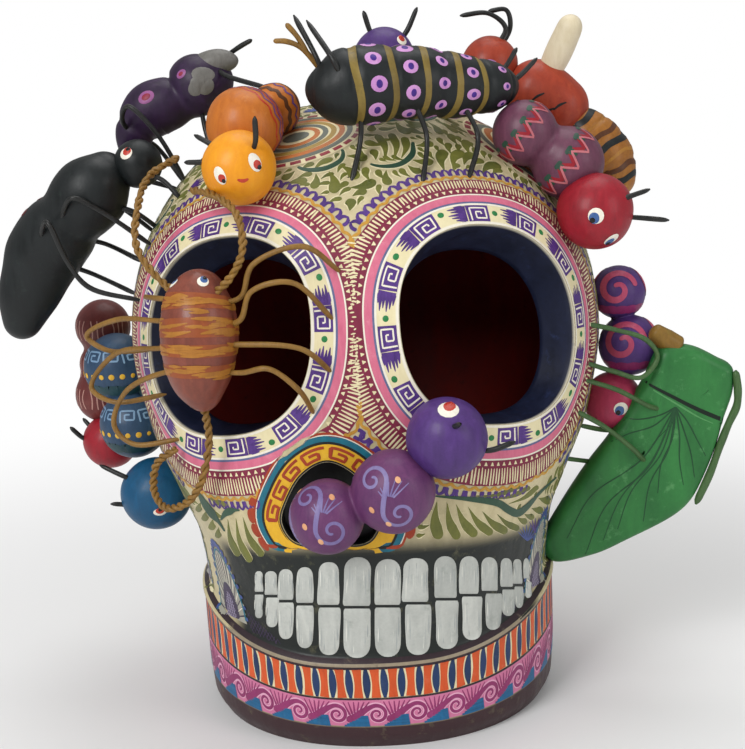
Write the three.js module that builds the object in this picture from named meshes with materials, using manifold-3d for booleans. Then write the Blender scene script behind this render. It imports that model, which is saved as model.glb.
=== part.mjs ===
// A hollow skull of fired and painted clay, life size, that stands on its own foot. Clay insects and
// grubs, made apart from it, sit on it or stand off it on painted wires. Lengths are millimetres and
// angles are degrees. X is to the viewer's right, the face looks along -Y and +Z is up. The origin is
// the centre of the foot's underside.
import * as THREE from 'three';
import { mergeVertices } from 'three/addons/utils/BufferGeometryUtils.js';
import Module from 'manifold-3d';

const wasm = await Module();
wasm.setup();

// Driving sizes of the skull
const skull = {
  height: 244,
  widestHeight: 152,
  halfWidth: 95,
  frontDepth: 87,
  backDepth: 112,
  crownShift: 14,
  wall: 12,
  floor: 10,
  squareness: 2.15,
  domeFullness: 0.85,
};

// The skull's outline from the foot up to its widest level, as shares of the sizes above
const levelShares = [0, 0.04, 0.2, 0.34, 0.49, 0.63, 0.79, 1];
const widthShares = [0.705, 0.737, 0.747, 0.747, 0.768, 0.847, 0.947, 1];
const frontShares = [0.793, 0.828, 0.851, 0.874, 0.92, 0.954, 0.977, 1];
const backShares = [0.66, 0.69, 0.7, 0.714, 0.768, 0.84, 0.93, 1];

// The lip runs round the skull above the painted base: lower in front, higher at the sides
const lip = { frontHeight: 37, sideHeight: 52, bead: 1.6, beadReach: 2, collar: 2.5, collarReach: 2 };
const lipTurn = { from: 14, to: 86 };

// Low swellings of the face: cheekbones, the bulge behind the teeth, the nose bridge and the brows
const swellings = [
  { azimuth: 35.5, height: 104, rise: 5, spread: 24, reach: 20 },
  { azimuth: -35.5, height: 104, rise: 5, spread: 24, reach: 20 },
  { azimuth: 0, height: 74, rise: 4, spread: 46, reach: 24 },
  { azimuth: 0, height: 150, rise: -2, spread: 9, reach: 40 },
  { azimuth: 28.6, height: 206, rise: 3, spread: 28.6, reach: 16 },
  { azimuth: -28.6, height: 206, rise: 3, spread: 28.6, reach: 16 },
];

// An eye socket is a tapered tunnel through the wall, cut square to a plane turned out and up
const socket = {
  centreX: 52,
  centreZ: 170.5,
  planeDepth: 84,
  radius: 35.5,
  squareness: 2.3,
  turn: 11,
  tilt: 23.5,
  tunnelDepth: 14,
  tunnelTurn: 35,
  tunnelTilt: 18,
  innerShare: 0.84,
};

// The nose is a blind recess: a rounded triangle with two lobes below
const nose = { centreX: -13, centreZ: 103, halfWidth: 18, halfHeight: 16, depth: 8 };
const noseOutlineShares = [
  [0, 1], [0.5, 0.72], [0.86, 0.1], [1, -0.42], [0.8, -0.88], [0.42, -0.98],
  [0, -0.72], [-0.42, -0.98], [-0.8, -0.88], [-1, -0.42], [-0.86, 0.1], [-0.5, 0.72],
];

// Clearances and shared sizes
const gap = 0.3;
const seat = 1;
const cutOverrun = 40;
const wireRadius = 1;
const cordRadius = 1.6;
const wireSides = 6;
const columns = 52;
const innerColumns = 28;

const deg = Math.PI / 180;

// Smooth step from 0 to 1 as x goes from a to b
function ramp(a, b, x) {
  const t = Math.min(1, Math.max(0, (x - a) / (b - a)));
  return t * t * (3 - 2 * t);
}

// A curve through (xs, ys) that never overshoots its points
function smoothThrough(xs, ys, x) {
  const steps = xs.slice(1).map((value, i) => value - xs[i]);
  const slopes = steps.map((h, i) => (ys[i + 1] - ys[i]) / h);
  const last = steps.length;
  const tangent = (i) => {
    if (i === 0) return slopes[0];
    if (i === last) return 0;
    if (slopes[i - 1] * slopes[i] <= 0) return 0;
    const before = 2 * steps[i] + steps[i - 1];
    const after = steps[i] + 2 * steps[i - 1];
    return (before + after) / (before / slopes[i - 1] + after / slopes[i]);
  };
  let i = 0;
  while (i < last - 1 && x > xs[i + 1]) i += 1;
  const h = steps[i];
  const t = Math.min(1, Math.max(0, (x - xs[i]) / h));
  const t2 = t * t;
  const t3 = t2 * t;
  return (2 * t3 - 3 * t2 + 1) * ys[i] + (t3 - 2 * t2 + t) * h * tangent(i)
    + (3 * t2 - 2 * t3) * ys[i + 1] + (t3 - t2) * h * tangent(i + 1);
}

function lipHeight(azimuth) {
  const side = ramp(lipTurn.from, lipTurn.to, Math.abs(azimuth));
  return lip.frontHeight + (lip.sideHeight - lip.frontHeight) * side;
}

// Radius of the skull's plain outline at one level share (0 at the foot, 1 at the widest level)
function outlineRadius(azimuth, levelShare, inset) {
  const width = skull.halfWidth * smoothThrough(levelShares, widthShares, levelShare) - inset;
  const facing = Math.cos(azimuth * deg);
  const deep = facing > 0
    ? skull.frontDepth * smoothThrough(levelShares, frontShares, levelShare)
    : skull.backDepth * smoothThrough(levelShares, backShares, levelShare);
  const n = skull.squareness;
  const across = Math.abs(Math.sin(azimuth * deg) / width) ** n;
  return (across + Math.abs(facing / (deep - inset)) ** n) ** (-1 / n);
}

// A point of the skull. Level 0 to 1 climbs from the foot to the widest level, 1 to 2 is the dome.
function skullPoint(azimuth, level, grow = 0) {
  const low = Math.min(level, 1);
  const climb = Math.max(level - 1, 0) * 90 * deg;
  const height = low * skull.widestHeight + (skull.height - skull.widestHeight + grow) * Math.sin(climb);
  let radius = outlineRadius(azimuth, low, 0) + grow;
  if (level < 1) {
    const above = height - lipHeight(azimuth);
    radius += lip.collar * (1 - ramp(-lip.collarReach, lip.collarReach, above));
    radius += lip.bead * Math.exp(-((above / lip.beadReach) ** 2));
  }
  for (const swell of swellings) {
    const turn = (azimuth - swell.azimuth + 540) % 360 - 180;
    const rise = (height - swell.height) / swell.reach;
    radius += swell.rise * Math.exp(-((turn / swell.spread) ** 2) - rise * rise);
  }
  radius *= Math.cos(climb) ** skull.domeFullness;
  const shift = skull.crownShift * Math.sin(climb) ** 2;
  return new THREE.Vector3(
    radius * Math.sin(azimuth * deg), shift - radius * Math.cos(azimuth * deg), height);
}

function skullNormal(azimuth, level) {
  const here = skullPoint(azimuth, level);
  const round = skullPoint(azimuth + 0.1, level).sub(here);
  const up = skullPoint(azimuth, level + 0.001).sub(here);
  return round.cross(up).normalize();
}

// A place off the skull: which way round, which level, and how far out from its surface
function off(azimuth, level, lift = 0) {
  return skullPoint(azimuth, level).addScaledVector(skullNormal(azimuth, level), lift);
}

// A closed solid from rings of points, each ring the same length, with a point at each end
function solidFromRings(rings, first, last) {
  const count = rings[0].length;
  const points = [first, ...rings.flat(), last];
  const tip = points.length - 1;
  const index = [];
  for (let i = 0; i < count; i += 1) {
    const next = (i + 1) % count;
    index.push(0, 1 + next, 1 + i);
    for (let r = 0; r < rings.length - 1; r += 1) {
      const a = 1 + r * count;
      const b = a + count;
      index.push(a + i, a + next, b + next, a + i, b + next, b + i);
    }
    const a = 1 + (rings.length - 1) * count;
    index.push(tip, a + i, a + next);
  }
  const positions = new Float32Array(points.flatMap((p) => [p.x, p.y, p.z]));
  return toSolid(positions, index);
}

function toSolid(positions, index) {
  const mesh = new wasm.Mesh({
    numProp: 3, vertProperties: positions, triVerts: new Uint32Array(index),
  });
  const solid = new wasm.Manifold(mesh);
  return solid.volume() < 0 ? turnedOut(positions, index) : solid;
}

// The same faces wound the other way
function turnedOut(positions, index) {
  const flipped = [];
  for (let i = 0; i < index.length; i += 3) flipped.push(index[i], index[i + 2], index[i + 1]);
  return new wasm.Manifold(new wasm.Mesh({
    numProp: 3, vertProperties: positions, triVerts: new Uint32Array(flipped),
  }));
}

function solidFromGeometry(geometry) {
  const plain = geometry.clone();
  plain.deleteAttribute('normal');
  plain.deleteAttribute('uv');
  const merged = mergeVertices(plain);
  return toSolid(new Float32Array(merged.attributes.position.array), [...merged.index.array]);
}

// The biggest piece of a cut solid, so that no crumb is left beside it
function biggest(solid) {
  const pieces = solid.decompose();
  return pieces.reduce((best, piece) => (piece.volume() > best.volume() ? piece : best));
}

// The skull's rows: through the base, round the lip bead, up to the widest level, then the dome
function skullRows(azimuth) {
  const lipLevel = lipHeight(azimuth) / skull.widestHeight;
  const step = lip.beadReach / skull.widestHeight;
  const rows = [0, 0.12, 0.55].map((share) => share * (lipLevel - step));
  rows.push(lipLevel - step, lipLevel, lipLevel + step, lipLevel + 2 * step);
  for (const share of [0.16, 0.33, 0.5, 0.67, 0.84]) {
    rows.push(lipLevel + 2 * step + share * (1 - lipLevel - 2 * step));
  }
  for (let i = 0; i < 9; i += 1) rows.push(1 + i / 9);
  return rows;
}

function skullBlock(grow) {
  const rowCount = skullRows(0).length;
  const rings = [];
  for (let r = 0; r < rowCount; r += 1) {
    const ring = [];
    for (let i = 0; i < columns; i += 1) {
      const azimuth = (i + 0.5) * 360 / columns - 180;
      const point = skullPoint(azimuth, skullRows(azimuth)[r], grow);
      if (r === 0) point.z -= grow;
      ring.push(point);
    }
    rings.push(ring);
  }
  const base = new THREE.Vector3(0, 0, -grow);
  const crown = new THREE.Vector3(0, skull.crownShift, skull.height + grow);
  return solidFromRings(rings, base, crown);
}

function skullHollow() {
  const top = skull.height - skull.wall;
  const rings = [];
  for (const share of [0, 0.25, 0.5, 0.75]) {
    rings.push({ z: skull.floor + share * (skull.widestHeight - skull.floor), climb: 0 });
  }
  for (let i = 0; i < 7; i += 1) {
    const climb = i / 7 * 90 * deg;
    rings.push({ z: skull.widestHeight + (top - skull.widestHeight) * Math.sin(climb), climb });
  }
  const points = rings.map(({ z, climb }) => {
    const shrink = Math.cos(climb) ** skull.domeFullness;
    const shift = skull.crownShift * Math.sin(climb) ** 2;
    return Array.from({ length: innerColumns }, (_, i) => {
      const azimuth = i * 360 / innerColumns - 180;
      const level = Math.min(z / skull.widestHeight, 1);
      const radius = outlineRadius(azimuth, level, skull.wall) * shrink;
      return new THREE.Vector3(
        radius * Math.sin(azimuth * deg), shift - radius * Math.cos(azimuth * deg), z);
    });
  });
  return solidFromRings(points, new THREE.Vector3(0, 0, skull.floor),
    new THREE.Vector3(0, skull.crownShift, top));
}

// Unit vector out of the face, turned to one side and tilted up
function facing(turn, tilt) {
  return new THREE.Vector3(
    Math.sin(turn * deg) * Math.cos(tilt * deg), -Math.cos(turn * deg) * Math.cos(tilt * deg),
    Math.sin(tilt * deg));
}

// Whether a point lies inside the skull's outer surface
function insideSkull(p) {
  const rise = THREE.MathUtils.clamp(
    (p.z - skull.widestHeight) / (skull.height - skull.widestHeight), 0, 1);
  const shift = skull.crownShift * rise * rise;
  const level = p.z < skull.widestHeight
    ? p.z / skull.widestHeight
    : 1 + Math.asin(rise) / (90 * deg);
  const azimuth = Math.atan2(p.x, shift - p.y) / deg;
  const edge = skullPoint(azimuth, level);
  return Math.hypot(p.x, p.y - shift) < Math.hypot(edge.x, edge.y - shift);
}

// The first point of the skull met from outside along a line through a point
function dropOn(point, outward) {
  let far = skull.halfWidth;
  let near = -skull.halfWidth;
  const probe = new THREE.Vector3();
  const step = skull.halfWidth / 40;
  for (let t = far; t > near; t -= step) {
    if (insideSkull(probe.copy(point).addScaledVector(outward, t))) {
      near = t;
      far = t + step;
      break;
    }
  }
  for (let i = 0; i < 16; i += 1) {
    const middle = (near + far) / 2;
    if (insideSkull(probe.copy(point).addScaledVector(outward, middle))) near = middle;
    else far = middle;
  }
  return point.clone().addScaledVector(outward, near);
}

// The rim of one socket on the skull's surface, grown outwards by a margin
function socketRim(side, grow, count) {
  const outward = facing(side * socket.turn, socket.tilt);
  const across = new THREE.Vector3(Math.cos(side * socket.turn * deg), Math.sin(side * socket.turn * deg), 0);
  const up = across.clone().cross(outward).multiplyScalar(-1);
  if (up.z < 0) up.negate();
  const centre = new THREE.Vector3(side * socket.centreX, -socket.planeDepth, socket.centreZ);
  const size = socket.radius + grow;
  return Array.from({ length: count }, (_, i) => {
    const angle = i / count * 360 * deg;
    const a = Math.cos(angle);
    const b = Math.sin(angle);
    const x = size * Math.sign(a) * Math.abs(a) ** (2 / socket.squareness);
    const z = size * Math.sign(b) * Math.abs(b) ** (2 / socket.squareness);
    const start = centre.clone().addScaledVector(across, x).addScaledVector(up, z);
    return dropOn(start, outward);
  });
}

function middle(points) {
  const sum = points.reduce((total, point) => total.add(point), new THREE.Vector3());
  return sum.divideScalar(points.length);
}

function socketCutter(side) {
  const rim = socketRim(side, 0, 40);
  const outward = facing(side * socket.turn, socket.tilt);
  const inward = facing(side * socket.tunnelTurn, socket.tunnelTilt).negate();
  const centre = middle(rim);
  const outer = rim.map((p) => p.clone().addScaledVector(outward, cutOverrun));
  const inner = rim.map((p) => centre.clone().lerp(p, socket.innerShare)
    .addScaledVector(inward, socket.tunnelDepth));
  const end = inner.map((p) => p.clone().addScaledVector(inward, skull.wall));
  return solidFromRings([outer, rim, inner, end], middle(outer), middle(end));
}

function noseCutter() {
  const corners = noseOutlineShares.map(([x, z]) => new THREE.Vector3(
    nose.centreX + x * nose.halfWidth, -skull.frontDepth, nose.centreZ + z * nose.halfHeight));
  const outline = new THREE.CatmullRomCurve3(corners, true, 'centripetal').getPoints(30).slice(0, -1);
  const outward = facing(0, 0);
  const rim = outline.map((p) => dropOn(p, outward));
  const outer = rim.map((p) => p.clone().addScaledVector(outward, cutOverrun));
  const inner = rim.map((p) => p.clone().addScaledVector(outward, -nose.depth));
  return solidFromRings([outer, rim, inner], middle(outer), middle(inner));
}

const skullGrown = skullBlock(gap);

function skullShell() {
  return skullBlock(0)
    .subtract(skullHollow())
    .subtract(socketCutter(1))
    .subtract(socketCutter(-1))
    .subtract(noseCutter());
}

// A clay ball, and the same ball grown for cutting its neighbours
function ball(centre, radius) {
  const [round, down] = radius > seat + cordRadius ? [12, 8] : [6, 4];
  return solidFromGeometry(new THREE.SphereGeometry(radius, round, down)
    .rotateX(90 * deg).translate(centre.x, centre.y, centre.z));
}

// A clay body that swells and narrows along a bent axis. Its ends are rounded off.
function limb(stations, grow, sides = 12, steps = 9) {
  const axis = new THREE.CatmullRomCurve3(stations.map((s) => s.at), false, 'centripetal');
  const radii = new THREE.SplineCurve(stations.map((s, i) => new THREE.Vector2(i, s.radius)));
  const frames = axis.computeFrenetFrames(steps, false);
  const rings = [];
  for (let i = 0; i <= steps; i += 1) {
    const centre = axis.getPoint(i / steps);
    const radius = Math.max(radii.getPoint(i / steps).y, wireRadius) + grow;
    rings.push(Array.from({ length: sides }, (_, k) => {
      const angle = k / sides * 360 * deg;
      return centre.clone().addScaledVector(frames.normals[i], radius * Math.cos(angle))
        .addScaledVector(frames.binormals[i], radius * Math.sin(angle));
    }));
  }
  const first = stations[0];
  const last = stations[stations.length - 1];
  const start = first.at.clone().addScaledVector(axis.getTangent(0), -(first.radius / 2 + grow));
  const end = last.at.clone().addScaledVector(axis.getTangent(1), last.radius / 2 + grow);
  return solidFromRings(rings, start, end);
}

// A wire bent through places off the skull
function wire(points, radius) {
  const section = new THREE.Shape();
  section.absarc(0, 0, radius, 0, 360 * deg, false);
  return solidFromGeometry(new THREE.ExtrudeGeometry(section, {
    extrudePath: new THREE.CatmullRomCurve3(points, false, 'centripetal'),
    steps: 2 * (points.length - 1),
    curveSegments: wireSides / 2,
    bevelEnabled: false,
  }));
}

// The channel that a wire runs in where it goes through clay, with room past both its ends
function channel(points, radius) {
  const end = points[points.length - 1];
  return wire(points, radius).add(ball(points[0], radius)).add(ball(end, radius));
}

// Paint colours
const colours = {
  clayWhite: 0xd9cfb0, mauve: 0x8a4a78, violet: 0x6a45a0, copper: 0x9a5436, black: 0x1d1f20,
  darkViolet: 0x3a2346, grey: 0x6c6f6d, yellow: 0xf0a31c, orange: 0xd07a2c, red: 0xb02c34,
  rust: 0xb84a26, bone: 0xcdbfa6, plum: 0x7a4560, pink: 0xc05078, leaf: 0x2f7d3c, olive: 0x8a6a30,
  teal: 0x1c6f92, navy: 0x2a4f6c, brick: 0x9c4a44, ochre: 0xa87832, greenWire: 0x2d5a36,
};

// The insects' sizes are shares of this length: radii, lifts off the skull and the wires' reach
const reach = 20;

// The balls of each grub, rear to front: direction and level of the ball's seat, its radius, and how
// far it stands clear of the skull. The last ball of a body touches the head.
const balls = {
  nose_grub_body: {
    colour: colours.mauve,
    partShares: [[-8.5, 0.675, 0.675], [7.5, 0.73, 0.75]],
  },
  nose_grub_head: { colour: colours.violet, partShares: [[18.5, 0.852, 0.725]] },
  yellow_grub_body: {
    colour: colours.orange,
    partShares: [[-38, 1.72, 0.5], [-38, 1.61, 0.725]],
  },
  yellow_grub_head: { colour: colours.yellow, partShares: [[-31, 1.48, 0.68]] },
  crown_grub_body: { colour: colours.violet, partShares: [[82, 1.93, 0.55]] },
  crown_grub_head: { colour: colours.violet, partShares: [[35, 1.89, 0.6, 0.35]] },
  red_grub_body: {
    colour: colours.plum,
    partShares: [[62.5, 1.54, 0.625], [69.5, 1.43, 0.7]],
  },
  red_grub_head: { colour: colours.red, partShares: [[67.5, 1.3, 0.725]] },
  scroll_grub_body: {
    colour: colours.violet,
    partShares: [[92, 1.062, 0.55], [90, 0.934, 0.625, 0.125]],
  },
  scroll_grub_head: { colour: colours.pink, partShares: [[88.5, 0.79, 0.6]] },
  blue_grub_body: {
    colour: colours.navy,
    partShares: [[-97, 0.92, 0.725], [-96, 0.77, 0.725]],
  },
  blue_grub_head: { colour: colours.teal, partShares: [[-88, 0.6, 0.765]] },
  brick_grub_body: {
    colour: colours.brick,
    partShares: [[-107, 1.0, 0.6, 0.65], [-107, 0.92, 0.525, 0.85], [-107, 0.845, 0.6, 1]],
  },
  brick_grub_head: { colour: colours.red, partShares: [[-105, 0.745, 0.6, 1.1]] },
  wasp_head: { colour: colours.rust, partShares: [[97, 1.72, 0.575, 0.6]] },
  wasp_thorax: {
    colour: colours.rust,
    partShares: [[95, 1.6, 0.65, 0.5], [94, 1.54, 0.625, 0.55], [97, 1.56, 0.225, 1.4]],
  },
  ant_head: { colour: colours.black, partShares: [[-73, 1.46, 0.475, 0.5]] },
};

// Bodies that swell along a bent axis: direction and level of each station, its lift and its radius
const limbs = {
  socket_bug_body: {
    colour: colours.copper,
    stationShares: [
      [-33.5, 1.21, 0.7, 0.425], [-33.5, 1.17, 0.7, 0.625],
      [-33, 1.09, 0.7, 0.69], [-33, 1.0, 0.7, 0.625],
      [-33, 0.95, 0.65, 0.35],
    ],
  },
  ant_body: {
    colour: colours.black,
    stationShares: [
      [-76, 1.42, 1.25, 0.45], [-76, 1.37, 1.35, 0.725],
      [-80, 1.28, 1.6, 0.725], [-84, 1.2, 1.9, 0.775],
      [-85, 1.1, 2.15, 0.6], [-85, 1.04, 2.3, 0.35],
    ],
  },
  moth_body: {
    colour: colours.darkViolet,
    stationShares: [
      [-90, 1.46, 1.25, 0.2], [-90, 1.5, 1.35, 0.4],
      [-90, 1.56, 1.4, 0.575], [-89, 1.63, 1.2, 0.525],
      [-89, 1.68, 1.2, 0.65], [-88, 1.73, 1.1, 0.4],
    ],
  },
  moth_snout: {
    colour: colours.grey,
    stationShares: [
      [-88, 1.7, 1.45, 0.3], [-86, 1.74, 1.4, 0.275],
      [-85, 1.77, 1.3, 0.17],
    ],
  },
  beetle_body: {
    colour: colours.black,
    stationShares: [
      [-12, 1.67, 1.05, 0.35], [-7, 1.67, 1.05, 0.625],
      [5, 1.68, 1.05, 0.725], [25, 1.69, 1, 0.675],
      [46, 1.67, 0.95, 0.575], [60, 1.65, 1, 0.45],
      [66, 1.64, 1.05, 0.25],
    ],
  },
  wasp_abdomen: {
    colour: colours.orange,
    stationShares: [
      [94, 1.49, 1.15, 0.4], [94, 1.44, 1.15, 0.57],
      [94, 1.37, 1.15, 0.6], [94, 1.31, 1.1, 0.4],
    ],
  },
  wasp_sting: {
    colour: colours.bone,
    stationShares: [
      [94, 1.6, 1.45, 0.225], [92, 1.61, 2, 0.28],
      [90, 1.62, 2.6, 0.25],
    ],
  },
};

// Wires: places that each one is bent through, as direction, level and lift. A lift below zero ends
// inside the clay, where the wire is trimmed to its seat. A branch forks off the same wire.
const wires = {
  nose_grub_feelers: {
    routeShares: [[19, 0.92, 1.5], [18, 0.885, 1], [20, 0.855, 0.65], [25, 0.815, 1], [30, 0.835, 1.2]],
    colour: colours.black,
  },
  socket_bug_legs_1: {
    routeShares: [
      [-56, 1.17, -0.05], [-53, 1.17, 0.4], [-45, 1.17, 0.6], [-34, 1.17, 0.6], [-24, 1.18, 0.7],
      [-21, 1.25, 0.85], [-11, 1.29, 0.8], [-3, 1.25, -0.05],
    ],
    colour: colours.ochre,
  },
  socket_bug_legs_2: {
    routeShares: [
      [-59, 1.03, -0.05], [-63, 1.03, 0.7], [-65, 1.06, 1.05], [-56, 1.11, 0.8], [-45, 1.12, 0.6],
      [-34, 1.12, 0.55], [-24, 1.13, 0.7], [-21, 1.19, 0.85], [-13, 1.21, 0.8], [-5, 1.13, -0.05],
    ],
    colour: colours.ochre,
  },
  socket_bug_legs_3: {
    routeShares: [
      [-54, 0.92, -0.05], [-60, 0.92, 0.8], [-65, 0.95, 1.05], [-58, 1.03, 0.75], [-44, 1.06, 0.6],
      [-34, 1.07, 0.6], [-24, 1.08, 0.65], [-12, 1.07, 0.55], [-6, 1.0, -0.05],
    ],
    colour: colours.ochre,
  },
  socket_bug_legs_4: {
    routeShares: [
      [-50, 0.81, -0.05], [-57, 0.81, 0.7], [-60, 0.86, 0.9], [-55, 0.95, 0.75], [-42, 1.01, 0.6],
      [-33, 1.02, 0.6], [-24, 1.02, 0.65], [-18, 1.03, 0.7], [-13, 0.98, 0.5], [-11, 0.9, -0.05],
    ],
    colour: colours.ochre,
  },
  socket_bug_feelers: {
    routeShares: [
      [-54, 1.5, 0.75], [-56, 1.43, 0.95], [-53, 1.36, 1], [-48, 1.27, 1.05], [-41, 1.2, 0.85],
      [-34, 1.17, 0.85], [-27, 1.2, 0.9], [-23, 1.27, 0.95], [-25, 1.35, 0.9], [-33, 1.4, 0.75],
      [-45, 1.43, 0.55],
    ],
    colour: colours.ochre,
    thick: true,
  },
  socket_bug_tail: {
    routeShares: [
      [-33, 0.98, 0.65], [-33.5, 0.93, 0.6], [-34, 0.85, 0.5], [-37, 0.74, 0.4], [-41, 0.69, 0.5],
      [-46, 0.68, 0.7], [-51, 0.71, 0.65], [-52, 0.76, 0.45], [-47, 0.8, 0.2],
    ],
    colour: colours.ochre,
    thick: true,
  },
  ant_legs_1: {
    routeShares: [
      [-65, 1.45, -0.05], [-69, 1.46, 0.5], [-72, 1.42, 1], [-78, 1.39, 1.05], [-88, 1.42, 0.8],
      [-90, 1.46, -0.05],
    ],
    colour: colours.black,
  },
  ant_legs_2: {
    routeShares: [
      [-74, 1.35, -0.05], [-72, 1.36, 0.5], [-74, 1.35, 0.9], [-80, 1.33, 1.15], [-90, 1.34, 0.9],
      [-92, 1.31, -0.05],
    ],
    colour: colours.black,
  },
  ant_legs_3: {
    routeShares: [
      [-70, 1.3, -0.05], [-69, 1.33, 1.2], [-69, 1.33, 1.75], [-73, 1.29, 1.75], [-81, 1.25, 1.5],
      [-85, 1.25, 0.8], [-80, 1.24, -0.05],
    ],
    colour: colours.black,
  },
  ant_legs_4: {
    routeShares: [
      [-67, 1.15, -0.05], [-71, 1.16, 0.95], [-72, 1.2, 1.4], [-72, 1.27, 2], [-76, 1.24, 2],
      [-84, 1.19, 1.7], [-86, 1.17, 0.9], [-78, 1.15, -0.05],
    ],
    colour: colours.black,
  },
  moth_legs_1: {
    routeShares: [
      [-76, 1.5, -0.05], [-76, 1.54, 1], [-78, 1.54, 1.75], [-83, 1.51, 1.65], [-90, 1.5, 1.25],
      [-98, 1.5, 0.9], [-98, 1.47, -0.05],
    ],
    colour: colours.black,
  },
  moth_legs_2: {
    routeShares: [
      [-80, 1.61, -0.05], [-83, 1.64, 0.5], [-89, 1.66, 0.85], [-97, 1.66, 0.7], [-100, 1.68, -0.05],
    ],
    colour: colours.black,
  },
  moth_feelers: {
    routeShares: [
      [-82, 1.82, 1.55], [-86, 1.79, 1.5], [-90, 1.745, 1.4], [-80, 1.735, 1.2], [-50, 1.78, 0.65],
    ],
    colour: colours.black,
  },
  yellow_grub_feelers: {
    routeShares: [
      [-23, 1.51, 1.6], [-24, 1.485, 1.15], [-30, 1.48, 0.75], [-34, 1.485, 1.05], [-41, 1.5, 1.3],
    ],
    branchShares: [[-32, 1.48, 0.9], [-36, 1.46, 1], [-42, 1.45, 1.1]],
    colour: colours.black,
  },
  beetle_legs_1: {
    routeShares: [
      [0, 1.5, -0.05], [4, 1.6, 0.35], [5, 1.64, 0.8], [9, 1.72, 0.65], [11, 1.75, -0.05],
    ],
    colour: colours.black,
  },
  beetle_legs_2: {
    routeShares: [
      [22, 1.48, -0.05], [27, 1.59, 0.4], [24, 1.63, 0.85], [33, 1.73, 0.65], [36, 1.76, -0.05],
    ],
    colour: colours.black,
  },
  beetle_legs_3: {
    routeShares: [
      [37, 1.48, -0.05], [45, 1.57, 0.4], [42, 1.63, 0.8], [53, 1.71, 0.65], [57, 1.74, -0.05],
    ],
    colour: colours.black,
  },
  beetle_horns: {
    routeShares: [
      [-15, 1.73, 2.15], [-3, 1.64, 1.7], [-2, 1.655, 1.2], [-8, 1.675, 1.1], [-10, 1.675, 1.6],
      [-21, 1.745, 2.2],
    ],
    colour: colours.black,
  },
  beetle_fork: {
    routeShares: [[-7, 1.69, 1.1], [-9.7, 1.69, 1.3], [-15.8, 1.69, 1.8], [-20, 1.68, 2], [-24, 1.675, 2.05]],
    branchShares: [[-14, 1.69, 1.65], [-17, 1.695, 2], [-20.5, 1.7, 2.25]],
    colour: colours.ochre,
  },
  beetle_tail_pins: {
    routeShares: [
      [70, 1.67, 1.7], [65, 1.665, 1.3], [58, 1.665, 1], [57, 1.64, 1], [67, 1.635, 1.25],
      [73, 1.63, 1.7],
    ],
    colour: colours.black,
  },
  crown_grub_feelers: {
    routeShares: [
      [17, 1.91, 1.8], [24, 1.9, 1.35], [35, 1.89, 1.05], [48, 1.87, 1.35], [55, 1.86, 1.9],
    ],
    colour: colours.black,
  },
  wasp_feelers: {
    routeShares: [
      [94, 1.81, 1.85], [94, 1.76, 2.05], [94, 1.72, 1.9], [95, 1.725, 1.4], [97, 1.72, 1.05],
      [99, 1.715, 1.4], [99, 1.71, 1.95], [99, 1.73, 2.25], [100, 1.76, 2.1],
    ],
    colour: colours.black,
  },
  wasp_legs_1: {
    routeShares: [
      [84, 1.64, -0.05], [84, 1.63, 0.6], [94, 1.61, 0.95], [104, 1.6, 0.6], [105, 1.6, -0.05],
    ],
    colour: colours.black,
  },
  wasp_legs_2: {
    routeShares: [
      [84, 1.5, -0.05], [84, 1.51, 0.6], [94, 1.53, 0.95], [104, 1.51, 0.6], [105, 1.5, -0.05],
    ],
    colour: colours.black,
  },
  red_grub_feelers: {
    routeShares: [[68, 1.29, 1.8], [66, 1.295, 1.2], [68, 1.28, 0.8], [70, 1.255, 1.2], [73, 1.22, 1.8]],
    colour: colours.black,
  },
  katydid_legs_1: {
    routeShares: [
      [68, 1.03, -0.05], [75, 1.0, 0.35], [79, 0.97, 0.95], [81, 0.93, 1.2], [79, 0.885, 0.95],
      [76, 0.895, 0.4], [67, 0.93, -0.05],
    ],
    colour: colours.greenWire,
  },
  katydid_legs_2: {
    routeShares: [
      [67, 0.885, -0.05], [76, 0.85, 0.55], [80, 0.815, 1.2], [86, 0.79, 1.7], [88, 0.75, 1.3],
      [85, 0.73, 0.6], [79, 0.73, -0.05],
    ],
    colour: colours.greenWire,
  },
  katydid_legs_3: {
    routeShares: [
      [64, 0.81, -0.05], [73, 0.76, 0.5], [79, 0.715, 1.3], [85, 0.68, 1.6], [87, 0.65, 1.1],
      [84, 0.64, 0.5], [78, 0.64, -0.05],
    ],
    colour: colours.greenWire,
  },
  blue_grub_feelers: {
    routeShares: [
      [-87, 0.73, 1.5], [-85, 0.675, 1.05], [-86, 0.63, 0.8], [-86, 0.6, 1.1], [-85, 0.625, 1.65],
    ],
    colour: colours.black,
  },
  brick_grub_feelers: {
    routeShares: [
      [-101, 0.79, 2.25], [-102, 0.765, 2.05], [-105, 0.73, 1.6], [-108, 0.765, 2.05], [-109, 0.79, 2.3],
    ],
    colour: colours.black,
  },
};

// The leaf-winged insect is a clay slab that stands beside the jaw. Its pieces are placed in shares
// of its length, across and up from its middle, and of its thickness outwards.
const katydid = { azimuth: 85, level: 0.816, liftShare: 0.39, length: 92, thickness: 13, edge: 3 };
const wingOutlineShares = [
  [-0.07, 0.27], [0.06, 0.27], [0.18, 0.21], [0.24, 0.17], [0.245, 0.07], [0.2, -0.07], [0.175, -0.16],
  [0.125, -0.3], [0.065, -0.42], [0, -0.485], [-0.235, -0.61], [-0.38, -0.67], [-0.57, -0.695],
  [-0.62, -0.61], [-0.565, -0.5], [-0.39, -0.235], [-0.3, -0.12], [-0.21, 0.02], [-0.14, 0.14],
];
const hindLegShares = [
  [0.25, -0.35, 0.16], [0.26, -0.35, 0.06], [0.255, -0.35, 0], [0.22, -0.35, -0.08], [0.185, -0.35, -0.17],
  [0.14, -0.35, -0.3], [0.075, -0.35, -0.445],
];
const stubShares = [[-0.09, 0, 0.335], [-0.045, 0, 0.3], [0, 0, 0.27]];
const stubRadiusShares = [0.18, 0.225, 0.225];

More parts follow.
